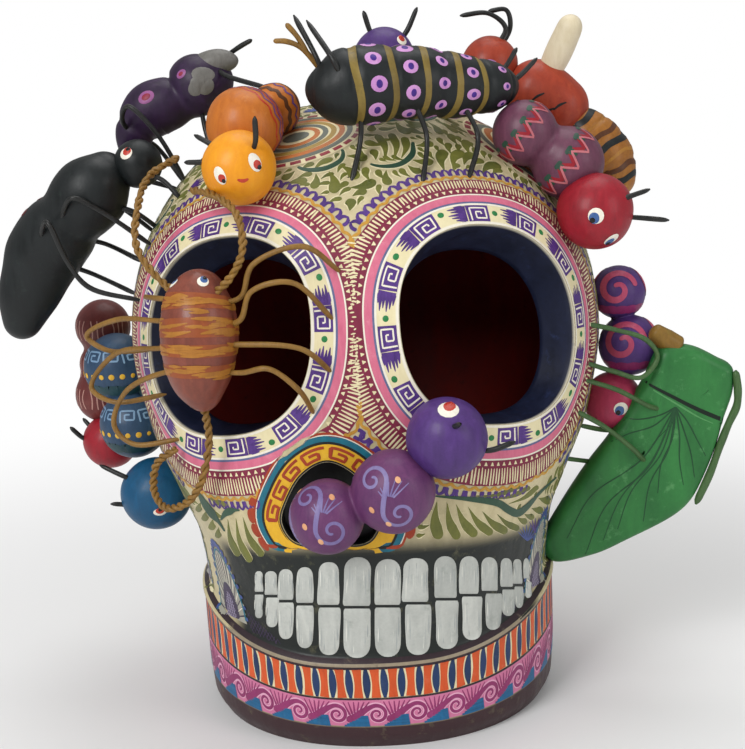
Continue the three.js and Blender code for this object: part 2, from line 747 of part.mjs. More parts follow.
function onWing([across, out, up]) {
  const centre = off(katydid.azimuth, katydid.level, katydid.liftShare * katydid.length);
  return centre.add(new THREE.Vector3(
    across * katydid.length, out * katydid.thickness, up * katydid.length));
}

function wingSlab(grow) {
  const outline = new THREE.Shape(wingOutlineShares.map(
    ([x, z]) => new THREE.Vector2(x * katydid.length, z * katydid.length)));
  const edge = katydid.edge;
  const geometry = new THREE.ExtrudeGeometry(outline, {
    depth: katydid.thickness - 2 * edge + 2 * grow,
    bevelEnabled: true,
    bevelThickness: edge,
    bevelSize: edge,
    bevelOffset: grow - edge,
    bevelSegments: 1,
  });
  const centre = onWing([0, 0, 0]);
  geometry.translate(0, 0, edge - katydid.thickness / 2 - grow);
  geometry.rotateX(90 * deg);
  geometry.translate(centre.x, centre.y, centre.z);
  return solidFromGeometry(geometry);
}

function stub(grow) {
  return limb(stubShares.map((place, i) => ({
    at: onWing(place),
    radius: stubRadiusShares[i] * reach,
  })), grow);
}

const group = new THREE.Group();

function addMesh(name, solid, colour) {
  const mesh = solid.getMesh();
  const geometry = new THREE.BufferGeometry();
  geometry.setAttribute('position', new THREE.BufferAttribute(new Float32Array(mesh.vertProperties), 3));
  geometry.setIndex(new THREE.BufferAttribute(new Uint32Array(mesh.triVerts), 1));
  geometry.computeVertexNormals();
  const material = new THREE.MeshStandardMaterial({ color: colour, roughness: 0.35, metalness: 0 });
  const node = new THREE.Mesh(geometry, material);
  node.name = name;
  group.add(node);
}

function boxesMeet(a, b) {
  const first = a.boundingBox();
  const second = b.boundingBox();
  return [0, 1, 2].every((i) => first.min[i] < second.max[i] && second.min[i] < first.max[i]);
}

// Wires first: each is trimmed where it meets the skull and keeps a channel for the clay it crosses
const channels = [];
function addWire(name, runs, radius, colour) {
  const whole = runs.map((points) => wire(points, radius)).reduce((joined, next) => joined.add(next));
  for (const points of runs) channels.push(channel(points, radius + gap));
  addMesh(name, biggest(whole.subtract(skullGrown)), colour);
}

function addWires() {
  for (const [name, { routeShares, branchShares, colour, thick }] of Object.entries(wires)) {
    const runs = [routeShares, branchShares].filter(Boolean).map(
      (run) => run.map(([azimuth, level, share]) => off(azimuth, level, share * reach)));
    addWire(name, runs, thick ? cordRadius : wireRadius, colour);
  }
  addWire('katydid_hind_leg', [hindLegShares.map(onWing)], cordRadius, colours.greenWire);
}

// Clay bodies: each is seated on the skull, cut clear of the bodies before it and of every wire
const placed = [];
function addBody(name, shape, colour) {
  let solid = shape(0).subtract(skullGrown);
  for (const other of [...placed, ...channels]) {
    if (boxesMeet(solid, other)) solid = solid.subtract(other);
  }
  placed.push(shape(gap));
  addMesh(name, biggest(solid), colour);
}

function ballShape(partShares) {
  return (grow) => {
    const solids = partShares.map(([azimuth, level, size, clear = 0]) => {
      const radius = size * reach;
      return ball(off(azimuth, level, radius - seat + clear * reach), radius + grow);
    });
    return solids.reduce((joined, next) => joined.add(next));
  };
}

function limbShape(stationShares) {
  const stations = stationShares.map(([azimuth, level, lift, size]) => ({
    at: off(azimuth, level, lift * reach),
    radius: size * reach,
  }));
  return (grow) => limb(stations, grow);
}

addMesh('skull_shell', skullShell(), colours.clayWhite);
addWires();
for (const [name, { partShares, colour }] of Object.entries(balls)) {
  addBody(name, ballShape(partShares), colour);
}
for (const [name, { stationShares, colour }] of Object.entries(limbs)) {
  addBody(name, limbShape(stationShares), colour);
}
addBody('katydid_stub', stub, colours.olive);
addBody('katydid_wing', wingSlab, colours.leaf);

export default group;
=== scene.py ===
import math

import bpy
import numpy as np
from mathutils import Matrix, Vector
from mathutils.bvhtree import BVHTree


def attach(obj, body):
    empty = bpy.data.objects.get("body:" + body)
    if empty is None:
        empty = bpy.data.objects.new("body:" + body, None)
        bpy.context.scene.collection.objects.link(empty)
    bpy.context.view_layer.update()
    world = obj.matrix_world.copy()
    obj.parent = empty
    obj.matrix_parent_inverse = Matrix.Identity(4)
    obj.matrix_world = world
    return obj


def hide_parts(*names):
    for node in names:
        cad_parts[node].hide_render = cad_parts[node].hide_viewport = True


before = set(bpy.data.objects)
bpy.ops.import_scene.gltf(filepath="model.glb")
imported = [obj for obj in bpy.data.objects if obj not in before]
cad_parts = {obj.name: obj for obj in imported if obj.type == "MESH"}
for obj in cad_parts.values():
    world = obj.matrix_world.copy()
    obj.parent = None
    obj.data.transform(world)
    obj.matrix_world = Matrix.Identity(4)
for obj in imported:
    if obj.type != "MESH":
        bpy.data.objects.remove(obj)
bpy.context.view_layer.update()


# The photographer's stand: a short telephoto lens 60 cm away, a little above the eyes and tipped by
# 3 degrees. Small pieces and paint are set out by the pixel of the photograph that shows them.
def unit(v):
    v = np.asarray(v, float)
    return v / np.maximum(np.linalg.norm(v, axis=-1, keepdims=True), 1e-9)


photo_width, photo_height, photo_focal = 745, 749, 1475.0
photo_centre = (369.0, 392.0)
camera_place = np.array([26.2, -599.4, 262.0])
camera_target = np.array([0.0, 0.0, 125.0])
camera_roll = math.radians(-3)
forward = unit(camera_target - camera_place)
level_right = unit(np.cross(forward, (0, 0, 1)))
level_up = np.cross(level_right, forward)
camera_right = level_right * math.cos(camera_roll) + level_up * math.sin(camera_roll)
camera_up = level_up * math.cos(camera_roll) - level_right * math.sin(camera_roll)


def line_of_sight(x, y):
    ahead = forward + camera_right * (x - photo_centre[0]) / photo_focal
    return unit(ahead - camera_up * (y - photo_centre[1]) / photo_focal)


lens = bpy.data.cameras.new("camera")
lens.sensor_width = 36
lens.lens = 36 * photo_focal / photo_height
lens.shift_x = (photo_width / 2 - photo_centre[0]) / photo_height
lens.shift_y = (photo_centre[1] - photo_height / 2) / photo_height
lens.clip_start = 0.01
camera = bpy.data.objects.new("camera", lens)
turn = Matrix((camera_right, camera_up, -forward)).transposed().to_4x4()
camera.matrix_world = Matrix.Translation(Vector(camera_place) / 1000) @ turn
bpy.context.collection.objects.link(camera)
bpy.context.scene.camera = camera


# The skull: one hollow head of fired clay, modelled by hand, with a wall of about 12 mm and a rolled
# lip above its painted base. It is brushed all over with an ivory ground, and black round the mouth.
MM = 0.001
skull_height, widest_height = 244.0, 152.0
half_width, front_depth, back_depth, crown_shift = 95.0, 87.0, 112.0, 14.0
wall, floor_thickness = 12.0, 10.0
squareness, dome_fullness = 2.15, 0.85
level_shares = [0, 0.04, 0.2, 0.34, 0.49, 0.63, 0.79, 1]
width_shares = [0.705, 0.737, 0.747, 0.747, 0.768, 0.847, 0.947, 1]
front_shares = [0.793, 0.828, 0.851, 0.874, 0.92, 0.954, 0.977, 1]
back_shares = [0.66, 0.69, 0.7, 0.714, 0.768, 0.84, 0.93, 1]
lip_front, lip_side, lip_bead, bead_reach, collar, collar_reach = 37.0, 52.0, 1.6, 2.0, 2.5, 2.0
# azimuth, height, rise, spread, reach of each low swelling: cheeks, teeth, bridge and brows
swellings = [(35.5, 104, 5, 24, 20), (-35.5, 104, 5, 24, 20), (0, 74, 4, 46, 24), (0, 150, -2, 9, 40),
             (28.6, 206, 3, 28.6, 16), (-28.6, 206, 3, 28.6, 16)]


def ramp(a, b, x):
    t = np.clip((x - a) / (b - a), 0, 1)
    return t * t * (3 - 2 * t)


def smooth_through(xs, ys, x):
    xs, ys = np.array(xs, float), np.array(ys, float)
    steps = np.diff(xs)
    slopes = np.diff(ys) / steps
    tangents = np.zeros(len(xs))
    tangents[0] = slopes[0]
    for i in range(1, len(steps)):
        if slopes[i - 1] * slopes[i] > 0:
            before, after = 2 * steps[i] + steps[i - 1], steps[i] + 2 * steps[i - 1]
            tangents[i] = (before + after) / (before / slopes[i - 1] + after / slopes[i])
    i = np.clip(np.searchsorted(xs, x, side="right") - 1, 0, len(steps) - 1)
    t = np.clip((x - xs[i]) / steps[i], 0, 1)
    t2, t3 = t * t, t ** 3
    return ((2 * t3 - 3 * t2 + 1) * ys[i] + (t3 - 2 * t2 + t) * steps[i] * tangents[i]
            + (3 * t2 - 2 * t3) * ys[i + 1] + (t3 - t2) * steps[i] * tangents[i + 1])


def lip_height(azimuth):
    return lip_front + (lip_side - lip_front) * ramp(14, 86, np.abs(azimuth))


def outline_radius(azimuth, level, inset):
    turn = np.radians(azimuth)
    width = half_width * smooth_through(level_shares, width_shares, level) - inset
    front = front_depth * smooth_through(level_shares, front_shares, level)
    back = back_depth * smooth_through(level_shares, back_shares, level)
    deep = np.where(np.cos(turn) > 0, front, back) - inset
    across = np.abs(np.sin(turn) / width) ** squareness
    return (across + np.abs(np.cos(turn) / deep) ** squareness) ** (-1 / squareness)


def skull_point(azimuth, level):
    """Azimuth in degrees from the face to its left; level 0 to 1 is foot to widest, 1 to 2 the dome."""
    azimuth, level = np.broadcast_arrays(np.asarray(azimuth, float), np.asarray(level, float))
    low = np.minimum(level, 1)
    climb = np.clip(level - 1, 0, 1) * math.pi / 2
    height = low * widest_height + (skull_height - widest_height) * np.sin(climb)
    radius = outline_radius(azimuth, low, 0)
    above = height - lip_height(azimuth)
    rolled = collar * (1 - ramp(-collar_reach, collar_reach, above))
    rolled = rolled + lip_bead * np.exp(-(above / bead_reach) ** 2)
    radius = radius + np.where(level < 1, rolled, 0)
    for centre, middle, rise, spread, reach in swellings:
        turn = (azimuth - centre + 540) % 360 - 180
        radius = radius + rise * np.exp(-(turn / spread) ** 2 - ((height - middle) / reach) ** 2)
    radius = radius * np.cos(climb) ** dome_fullness
    turn = np.radians(azimuth)
    shift = crown_shift * np.sin(climb) ** 2
    return np.stack([radius * np.sin(turn), shift - radius * np.cos(turn), height], -1)


def where_on_skull(p):
    """The azimuth and level of the skull's point at the same height and on the same side as p."""
    rise = np.clip((p[..., 2] - widest_height) / (skull_height - widest_height), 0, 1)
    shift = crown_shift * rise ** 2
    below = p[..., 2] < widest_height
    level = np.where(below, p[..., 2] / widest_height, 1 + np.arcsin(rise) * 2 / math.pi)
    return np.degrees(np.arctan2(p[..., 0], shift - p[..., 1])), level, shift


def inside_skull(p):
    azimuth, level, shift = where_on_skull(p)
    edge = skull_point(azimuth, level)
    reach = np.hypot(p[..., 0], p[..., 1] - shift)
    return (reach < np.hypot(edge[..., 0], edge[..., 1] - shift)) & (p[..., 2] < skull_height)


def skull_normal(azimuth, level):
    here = skull_point(azimuth, level)
    return unit(np.cross(skull_point(azimuth + 0.1, level) - here,
                         skull_point(azimuth, level + 0.001) - here))


def off(azimuth, level, lift=0.0):
    return skull_point(azimuth, level) + skull_normal(azimuth, level) * np.asarray(lift, float)[..., None]


def settle(p, outward, reach=2.0, steps=12):
    """Moves points along a direction on to the skull, from within a short reach of it."""
    low, high = np.full(p.shape[:-1], -reach), np.full(p.shape[:-1], reach)
    for _ in range(steps):
        middle = (low + high) / 2
        within = inside_skull(p + outward * middle[..., None])
        low, high = np.where(within, middle, low), np.where(within, high, middle)
    return p + outward * low[..., None]


class Chart:
    """A patch of surface laid out flat in millimetres: a grid of points, read between its points."""

    def __init__(self, across, up, points, outward):
        self.across, self.up, self.points = np.asarray(across, float), np.asarray(up, float), points
        along = np.gradient(points, self.across, axis=0)
        normals = unit(np.cross(along, np.gradient(points, self.up, axis=1)))
        self.normals = normals * np.sign((normals * outward).sum(-1).mean())

    def place(self, axis, value):
        i = np.clip(np.searchsorted(axis, value) - 1, 0, len(axis) - 2)
        return i, np.clip((value - axis[i]) / (axis[i + 1] - axis[i]), 0, 1)[..., None]

    def at(self, flat):
        i, a = self.place(self.across, flat[..., 0])
        k, b = self.place(self.up, flat[..., 1])

        def read(grid):
            low = grid[i, k] * (1 - a) + grid[i + 1, k] * a
            return low * (1 - b) + (grid[i, k + 1] * (1 - a) + grid[i + 1, k + 1] * a) * b
        return read(self.points), unit(read(self.normals))

    def find(self, point):
        """The place on the chart that lies nearest to a point."""
        gap = ((self.points - point) ** 2).sum(-1)
        i, k = np.unravel_index(gap.argmin(), gap.shape)
        return np.array([self.across[i], self.up[k]])


def make_mesh(name, points, faces, tones):
    """A mesh object from points in millimetres, with the named values of its points."""
    mesh = bpy.data.meshes.new(name)
    faces = np.asarray(faces)
    size = faces.shape[1]
    mesh.vertices.add(len(points))
    mesh.vertices.foreach_set("co", (np.asarray(points, np.float32) * MM).ravel())
    mesh.loops.add(faces.size)
    mesh.loops.foreach_set("vertex_index", faces.astype(np.int32).ravel())
    mesh.polygons.add(len(faces))
    mesh.polygons.foreach_set("loop_start", np.arange(0, faces.size, size, dtype=np.int32))
    mesh.update(calc_edges=True)
    mesh.polygons.foreach_set("use_smooth", np.ones(len(faces), bool))
    for key, values in tones.items():
        layer = mesh.attributes.new(key, "FLOAT", "POINT")
        layer.data.foreach_set("value", np.asarray(values, np.float32))
    mesh.validate()
    piece = bpy.data.objects.new(name, mesh)
    bpy.context.collection.objects.link(piece)
    return piece


def grid_faces(rows, columns, closed=False, first=0):
    """Four-sided faces of a grid of points, rows by columns; a closed one joins its last row to its first."""
    i, k = np.meshgrid(np.arange(rows if closed else rows - 1), np.arange(columns - 1), indexing="ij")
    i, k = i.ravel(), k.ravel()
    after = (i + 1) % rows
    here, there = i * columns + k, after * columns + k
    return first + np.stack([here, there, there + 1, here + 1], -1)


def dress(piece, material, slot, *nodes):
    """Gives a finished piece its paint, hangs it on the root body and hides the model's nodes that it stands
    for.
    """
    piece.data.materials.append(material)
    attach(piece, "root")
    if nodes:
        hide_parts(*nodes)
    return piece


def add_node(tree, kind, inputs=(), **settings):
    """A new node with its settings and the values of its inputs."""
    made = tree.nodes.new(kind)
    for key, value in settings.items():
        setattr(made, key, value)
    for key, value in dict(inputs).items():
        made.inputs[key].default_value = value
    return made


def link(tree, *joins):
    """Joins an output of one node to an input of another, each named after its node."""
    for source, output, target, key in joins:
        tree.links.new(source.outputs[output], target.inputs[key])


def node_group(name, given, result):
    """A group of nodes with its sockets, each with its kind and, for an input, perhaps its value."""
    group = bpy.data.node_groups.new(name, "ShaderNodeTree")
    for way, sockets in (("INPUT", given), ("OUTPUT", result)):
        for key, (kind, *value) in sockets.items():
            made = group.interface.new_socket(name=key, in_out=way, socket_type="NodeSocket" + kind)
            if value:
                made.default_value = value[0]
    return group, add_node(group, "NodeGroupInput"), add_node(group, "NodeGroupOutput")


def brush_marks_group():
    """Brush marks: long soft streaks and a fine grain, as a mask and as a height."""
    group, given, result = node_group(
        "brush marks", {"Scale": ("Float", 500.0), "Slant": ("Vector", (1.0, 1.0, 0.22))},
        {"Mask": ("Float",), "Height": ("Float",)})
    where = add_node(group, "ShaderNodeTexCoord")
    stretched = add_node(group, "ShaderNodeVectorMath", operation="MULTIPLY")
    streaks = add_node(group, "ShaderNodeTexNoise", {"Detail": 3, "Distortion": 0.6})
    grain = add_node(group, "ShaderNodeTexNoise", {"Detail": 4})
    finer = add_node(group, "ShaderNodeMath", {1: 3.5}, operation="MULTIPLY")
    both = add_node(group, "ShaderNodeMix", {"Factor": 0.3})
    spread = add_node(group, "ShaderNodeMapRange", {"From Min": 0.3, "From Max": 0.7})
    link(group, (where, "Object", stretched, 0), (given, "Slant", stretched, 1),
         (stretched, 0, streaks, "Vector"), (given, "Scale", streaks, "Scale"), (given, "Scale", finer, 0),
         (where, "Object", grain, "Vector"), (finer, 0, grain, "Scale"), (streaks, "Fac", both, "A"),
         (grain, "Fac", both, "B"), (both, "Result", spread, "Value"), (spread, "Result", result, "Mask"),
         (both, "Result", result, "Height"))
    return group


def worn_paint_group():
    """Where paint has rubbed thin, dust lies or a chip shows: a sparse blotchy mask."""
    group, given, result = node_group(
        "worn paint", {"Colour": ("Color",), "Under": ("Color",), "Amount": ("Float", 0.3),
                       "Scale": ("Float", 160.0)},
        {"Colour": ("Color",)})
    where = add_node(group, "ShaderNodeTexCoord")
    patches = add_node(group, "ShaderNodeTexNoise", {"Detail": 8, "Roughness": 0.7})
    sparse = add_node(group, "ShaderNodeMapRange", {"From Min": 0.58, "From Max": 0.72})
    share = add_node(group, "ShaderNodeMath", operation="MULTIPLY")
    blend = add_node(group, "ShaderNodeMix", data_type="RGBA")
    link(group, (where, "Object", patches, "Vector"), (given, "Scale", patches, "Scale"),
         (patches, "Fac", sparse, "Value"), (sparse, "Result", share, 0), (given, "Amount", share, 1),
         (share, 0, blend, "Factor"), (given, "Colour", blend, "A"), (given, "Under", blend, "B"),
         (blend, "Result", result, "Colour"))
    return group


brush_marks, worn_paint = brush_marks_group(), worn_paint_group()


def shade(value):
    """A colour written as six hexadecimal digits, as the shader wants it."""
    parts = [int(value[i:i + 2], 16) / 255 for i in (0, 2, 4)]
    return (*[p / 12.92 if p <= 0.04045 else ((p + 0.055) / 1.055) ** 2.4 for p in parts], 1.0)


def enamel(name, light, dark, under="cdbd98", scale=500, wear=0.25, rough=0.5, coat=0.1, bump=0.05,
           extra=None):
    """Brushed enamel: two tones of one colour, mixed by the stroke's own tone and by its brush marks."""
    material = bpy.data.materials.new(name)
    material.use_nodes = True
    tree = material.node_tree
    shader = tree.nodes["Principled BSDF"]
    for key, value in (("Specular IOR Level", 0.3), ("Coat Weight", coat), ("Coat Roughness", 0.22)):
        shader.inputs[key].default_value = value
    tone = add_node(tree, "ShaderNodeAttribute", attribute_name="tone")
    marks = add_node(tree, "ShaderNodeGroup", {"Scale": scale}, node_tree=brush_marks)
    worn = add_node(tree, "ShaderNodeGroup", {"Under": shade(under), "Amount": wear}, node_tree=worn_paint)
    factor = add_node(tree, "ShaderNodeMix", {"Factor": 0.5})
    colour = add_node(tree, "ShaderNodeMix", {"A": shade(dark), "B": shade(light)}, data_type="RGBA")
    gloss = add_node(tree, "ShaderNodeMapRange", {"To Min": rough - 0.1, "To Max": rough + 0.12})
    relief = add_node(tree, "ShaderNodeBump", {"Strength": bump * 8, "Distance": 0.0004})
    link(tree, (tone, "Fac", factor, "A"), (marks, "Mask", factor, "B"), (factor, "Result", colour, "Factor"),
         (marks, "Mask", gloss, "Value"), (gloss, "Result", shader, "Roughness"),
         (marks, "Height", relief, "Height"), (relief, "Normal", shader, "Normal"))
    last = colour
    for key, zone_colour in (extra or {}).items():
        zone = add_node(tree, "ShaderNodeAttribute", attribute_name=key)
        blend = add_node(tree, "ShaderNodeMix", {"B": shade(zone_colour)}, data_type="RGBA")
        link(tree, (zone, "Fac", blend, "Factor"), (last, "Result", blend, "A"))
        last = blend
    link(tree, (last, "Result", worn, "Colour"), (worn, "Colour", shader, "Base Color"))
    return material


def facing(turn, tilt):
    turn, tilt = math.radians(turn), math.radians(tilt)
    return np.array([math.sin(turn) * math.cos(tilt), -math.cos(turn) * math.cos(tilt), math.sin(tilt)])


# The rims of the three openings: two sockets with their tunnels and the nose's blind hollow
socket_x, socket_z, socket_plane, socket_radius, socket_squareness = 52.0, 170.5, 84.0, 35.5, 2.3
socket_turn, socket_tilt, tunnel_depth, tunnel_turn, tunnel_tilt, tunnel_share = 11, 23.5, 14.0, 35, 18, 0.84
nose_x, nose_z, nose_half_width, nose_half_height, nose_depth = -13.0, 103.0, 18.0, 16.0, 8.0
nose_shares = [(0, 1), (0.5, 0.72), (0.86, 0.1), (1, -0.42), (0.8, -0.88), (0.42, -0.98), (0, -0.72),
               (-0.42, -0.98), (-0.8, -0.88), (-1, -0.42), (-0.86, 0.1), (-0.5, 0.72)]


def curve_through(points, count, closed=False, power=0.5):
    """A smooth line through points, read at even shares of its course."""
    points = np.asarray(points, float)
    ring = np.vstack([points[-1], points, points[0], points[1]]) if closed else np.vstack(
        [2 * points[0] - points[1], points, 2 * points[-1] - points[-2]])
    gaps = np.maximum(np.linalg.norm(np.diff(ring, axis=0), axis=1), 1e-6)
    knots = np.concatenate([[0], np.cumsum(gaps ** power)])
    spans = len(ring) - 3
    t = np.linspace(0, spans, count, endpoint=not closed)
    i = np.minimum(t.astype(int), spans - 1)
    u = (knots[i + 1] + (t - i) * (knots[i + 2] - knots[i + 1]))[:, None]
    k = [knots[i + n][:, None] for n in range(4)]
    p = [ring[i + n] for n in range(4)]
    a = [(k[n + 1] - u) / (k[n + 1] - k[n]) * p[n] + (u - k[n]) / (k[n + 1] - k[n]) * p[n + 1]
         for n in range(3)]
    b = [(k[n + 2] - u) / (k[n + 2] - k[n]) * a[n] + (u - k[n]) / (k[n + 2] - k[n]) * a[n + 1]
         for n in range(2)]
    return (k[2] - u) / (k[2] - k[1]) * b[0] + (u - k[1]) / (k[2] - k[1]) * b[1]


def lengths_along(line):
    """The distance of each point of a line from its first, along the line."""
    return np.concatenate([[0], np.cumsum(np.linalg.norm(np.diff(line, axis=0), axis=1))])


def evenly(points, count):
    """The same ring with its points at even distances."""
    line = np.vstack([points, points[:1]])
    run = lengths_along(line)
    at = np.linspace(0, run[-1], count, endpoint=False)
    return np.stack([np.interp(at, run, line[:, n]) for n in range(3)], -1)


def drop_on(points, outward):
    """The first point of the skull met from outside along a direction."""
    reach = np.linspace(half_width, -half_width, 60)
    within = inside_skull(points[:, None] + outward * reach[:, None])
    near = reach[within.argmax(axis=1)]
    step = reach[0] - reach[1]
    met = points + outward * (near + step / 2)[:, None]
    return settle(met, np.broadcast_to(outward, points.shape), step, 18)


def socket_plane_axes(side):
    outward = facing(side * socket_turn, socket_tilt)
    turn = math.radians(side * socket_turn)
    across = np.array([math.cos(turn), math.sin(turn), 0])
    up = np.cross(outward, across)
    return np.array([side * socket_x, -socket_plane, socket_z]), outward, across, up * np.sign(up[2])


def socket_rim(side, count):
    centre, outward, across, up = socket_plane_axes(side)
    angle = np.linspace(0, 2 * math.pi, 1440, endpoint=False)
    a, b = np.cos(angle), np.sin(angle)
    x = socket_radius * np.sign(a) * np.abs(a) ** (2 / socket_squareness)
    z = socket_radius * np.sign(b) * np.abs(b) ** (2 / socket_squareness)
    return evenly(drop_on(centre + x[:, None] * across + z[:, None] * up, outward), count)


def nose_rim(count):
    corners = [(nose_x + x * nose_half_width, -front_depth, nose_z + z * nose_half_height)
               for x, z in nose_shares]
    outline = curve_through(corners, 720, closed=True)
    return evenly(drop_on(outline[::-1], np.array([0, -1.0, 0])), count)


rims = {"right socket": socket_rim(1, 300), "left socket": socket_rim(-1, 300), "nose": nose_rim(200)}


def distance_outside(points, rim, outward):
    """How far points lie outside a rim, less than zero within it, and the rim point next to each."""
    centre = rim.mean(axis=0)
    across = unit(np.cross((0, 0, 1), -outward))
    up = np.cross(across, -outward)
    flat_rim = np.stack([(rim - centre) @ across, (rim - centre) @ up], -1)
    flat = np.stack([(points - centre) @ across, (points - centre) @ up], -1)
    gap = np.linalg.norm(flat[:, None] - flat_rim[None], axis=-1)
    nearest = gap.argmin(axis=1)
    following = np.roll(flat_rim, -1, axis=0)
    crossing = (flat_rim[None, :, 1] > flat[:, None, 1]) != (following[None, :, 1] > flat[:, None, 1])
    across_step, up_step = (following - flat_rim).T
    slope = across_step / np.where(up_step == 0, 1e-9, up_step)
    left = flat[:, None, 0] < flat_rim[None, :, 0] + slope * (flat[:, None, 1] - flat_rim[None, :, 1])
    within = (crossing & left).sum(axis=1) % 2 == 1
    return np.where(within, -1, 1) * gap[np.arange(len(points)), nearest], nearest


skull_columns = 520
azimuths = np.arange(skull_columns) * 360 / skull_columns - 180
lip_levels = lip_height(azimuths) / widest_height
lip_band = bead_reach * 1.5 / widest_height
rows = [lip_levels * share - lip_band * share for share in np.linspace(0, 1, 26)]
rows += [lip_levels - lip_band + 3 * lip_band * share for share in np.linspace(0, 1, 16)[1:]]
rows += [lip_levels + 2 * lip_band + (1 - lip_levels - 2 * lip_band) * share
         for share in np.linspace(0, 1, 84)[1:]]
rows += [np.full(skull_columns, 1 + share) for share in np.linspace(0, 0.9995, 108)[1:]]
levels = np.array(rows).T
skin = skull_point(azimuths[:, None], levels)
row_count = levels.shape[1]
points = skin.reshape(-1, 3).copy()
faces = grid_faces(skull_columns, row_count, closed=True)
keep = np.ones(len(faces), bool)
ways = {"right socket": facing(socket_turn, socket_tilt), "left socket": facing(-socket_turn, socket_tilt),
        "nose": np.array([0, -1.0, 0])}
for name, rim in rims.items():
    near = np.where((np.linalg.norm(points - rim.mean(axis=0), axis=1) < 60) & (points[:, 1] < 0))[0]
    gap, nearest = distance_outside(points[near], rim, ways[name])
    within = np.zeros(len(points), bool)
    on_rim = gap < 0.3
    within[near[on_rim]] = True
    keep &= ~within[faces].all(axis=1)
    points[near[on_rim]] = rim[nearest[on_rim]]
faces = faces[keep]

mouth_middle, mouth_reach, mouth_height, foot_height = 5.5, 47, 80, 10.5
azimuth_of = np.repeat(azimuths, row_count)
height_of = skin.reshape(-1, 3)[:, 2]
mouth_side = 1 - ramp(mouth_reach, mouth_reach + 9, np.abs(azimuth_of - mouth_middle))
mouth_top = 1 - ramp(mouth_height, mouth_height + 8.5, height_of - 3 * np.cos(np.radians(azimuth_of * 3)))
mouth = mouth_side * mouth_top * ramp(-2.4, -1.8, height_of - lip_height(azimuth_of))
foot = 1 - ramp(-0.3, 0.3, height_of / lip_height(azimuth_of) * lip_front - foot_height)
ground = enamel("ivory ground", "dccfa8", "aca078", under="84805c", scale=260, wear=0.35,
                extra={"mouth": "1b201e", "foot": "3a2428"})
used = np.unique(faces)
renumber = np.full(len(points), -1)
renumber[used] = np.arange(len(used))
skull_skin = make_mesh("skull_skin", points[used], renumber[faces], {
    "tone": (0.5 + 0.2 * np.sin(azimuth_of / 9) * np.cos(height_of / 11))[used],
    "mouth": mouth[used], "foot": foot[used]})
dress(skull_skin, ground, "skull_paint", "skull_shell")
foot_edge = skull_point(azimuths[::4], 0.0)
foot_steps = ((1, 0), (0.985, 0), (0.94, 0.4), (0.6, 0.5), (0.02, 0.5))
foot_rings = [foot_edge * (share, share, 1) + (0, 0, rise) for share, rise in foot_steps]
points = np.stack(foot_rings, axis=1).reshape(-1, 3)
bare_clay = enamel("bare clay", "b07a58", "8a5a3e", under="d0a888", scale=260, wear=0.3, rough=0.8, coat=0)
foot_pad = make_mesh("skull_underside", points, grid_faces(len(foot_edge), len(foot_rings), closed=True),
                     {"tone": 0.5 + 0.3 * np.sin(points[:, 0] / 9)})
dress(foot_pad, bare_clay, "skull_paint")


# The openings: each eye is a tunnel cut through the wet clay, its edge rounded with a finger and its
# wall painted midnight blue. The nose is a blind hollow painted black. Inside, the clay is oxblood red.
def edge_away(rim, normals):
    """The direction along the skull, square to a rim and away from its hole."""
    along = unit(np.roll(rim, -1, axis=0) - np.roll(rim, 1, axis=0))
    away = unit(np.cross(along, normals))
    outward = ((rim - rim.mean(axis=0)) * away).sum(-1, keepdims=True)
    return away * np.sign(outward)


def normals_at(points):
    azimuth, level, _ = where_on_skull(points)
    return skull_normal(azimuth, level)


def rounded_edge(rim):
    """Rings that roll from the skull's skin over a rim into its hole."""
    normals = normals_at(rim)
    away = edge_away(rim, normals)
    rolls = [(1.9, -0.06), (1.3, 0.06), (0.7, 0.02), (0.25, -0.25), (0, -0.7), (-0.15, -1.4)]
    return [rim + away * out + normals * lift for out, lift in rolls]


def close_grid(rings):
    """Points and faces of closed rings, one inside the other."""
    grid = np.stack(rings, axis=1)
    return grid.reshape(-1, 3), grid_faces(grid.shape[0], grid.shape[1], closed=True)


midnight = enamel("midnight blue wall", "1c2442", "0c0f1c", under="2c3a64", scale=140, wear=0.5,
                  extra={"edge": "e9e1c8"})
tunnels = {}
for name, side in (("right socket", 1), ("left socket", -1)):
    rim = rims[name]
    inward = -facing(side * tunnel_turn, tunnel_tilt)
    rings = rounded_edge(rim)
    lip_count = len(rings)
    inner = rim.mean(axis=0) + (rim - rim.mean(axis=0)) * tunnel_share + inward * tunnel_depth
    tunnels[name] = inner
    for share in np.linspace(0, 1, 9)[1:]:
        rings.append(rings[lip_count - 1] * (1 - share) + inner * share)
    flare = unit(inner - inner.mean(axis=0))
    rings += [inner + inward * 0.8 + flare * 0.8, inner + inward * 1.0 + flare * 9]
    points, faces = close_grid(rings)
    edge = np.tile([1.0] * 4 + [0.4] + [0.0] * (len(rings) - 5), len(rim))
    tunnel = make_mesh(name.replace(" ", "_") + "_wall", points, faces,
                       {"tone": 0.3 + 0 * edge, "edge": edge})
    dress(tunnel, midnight, "skull_paint")

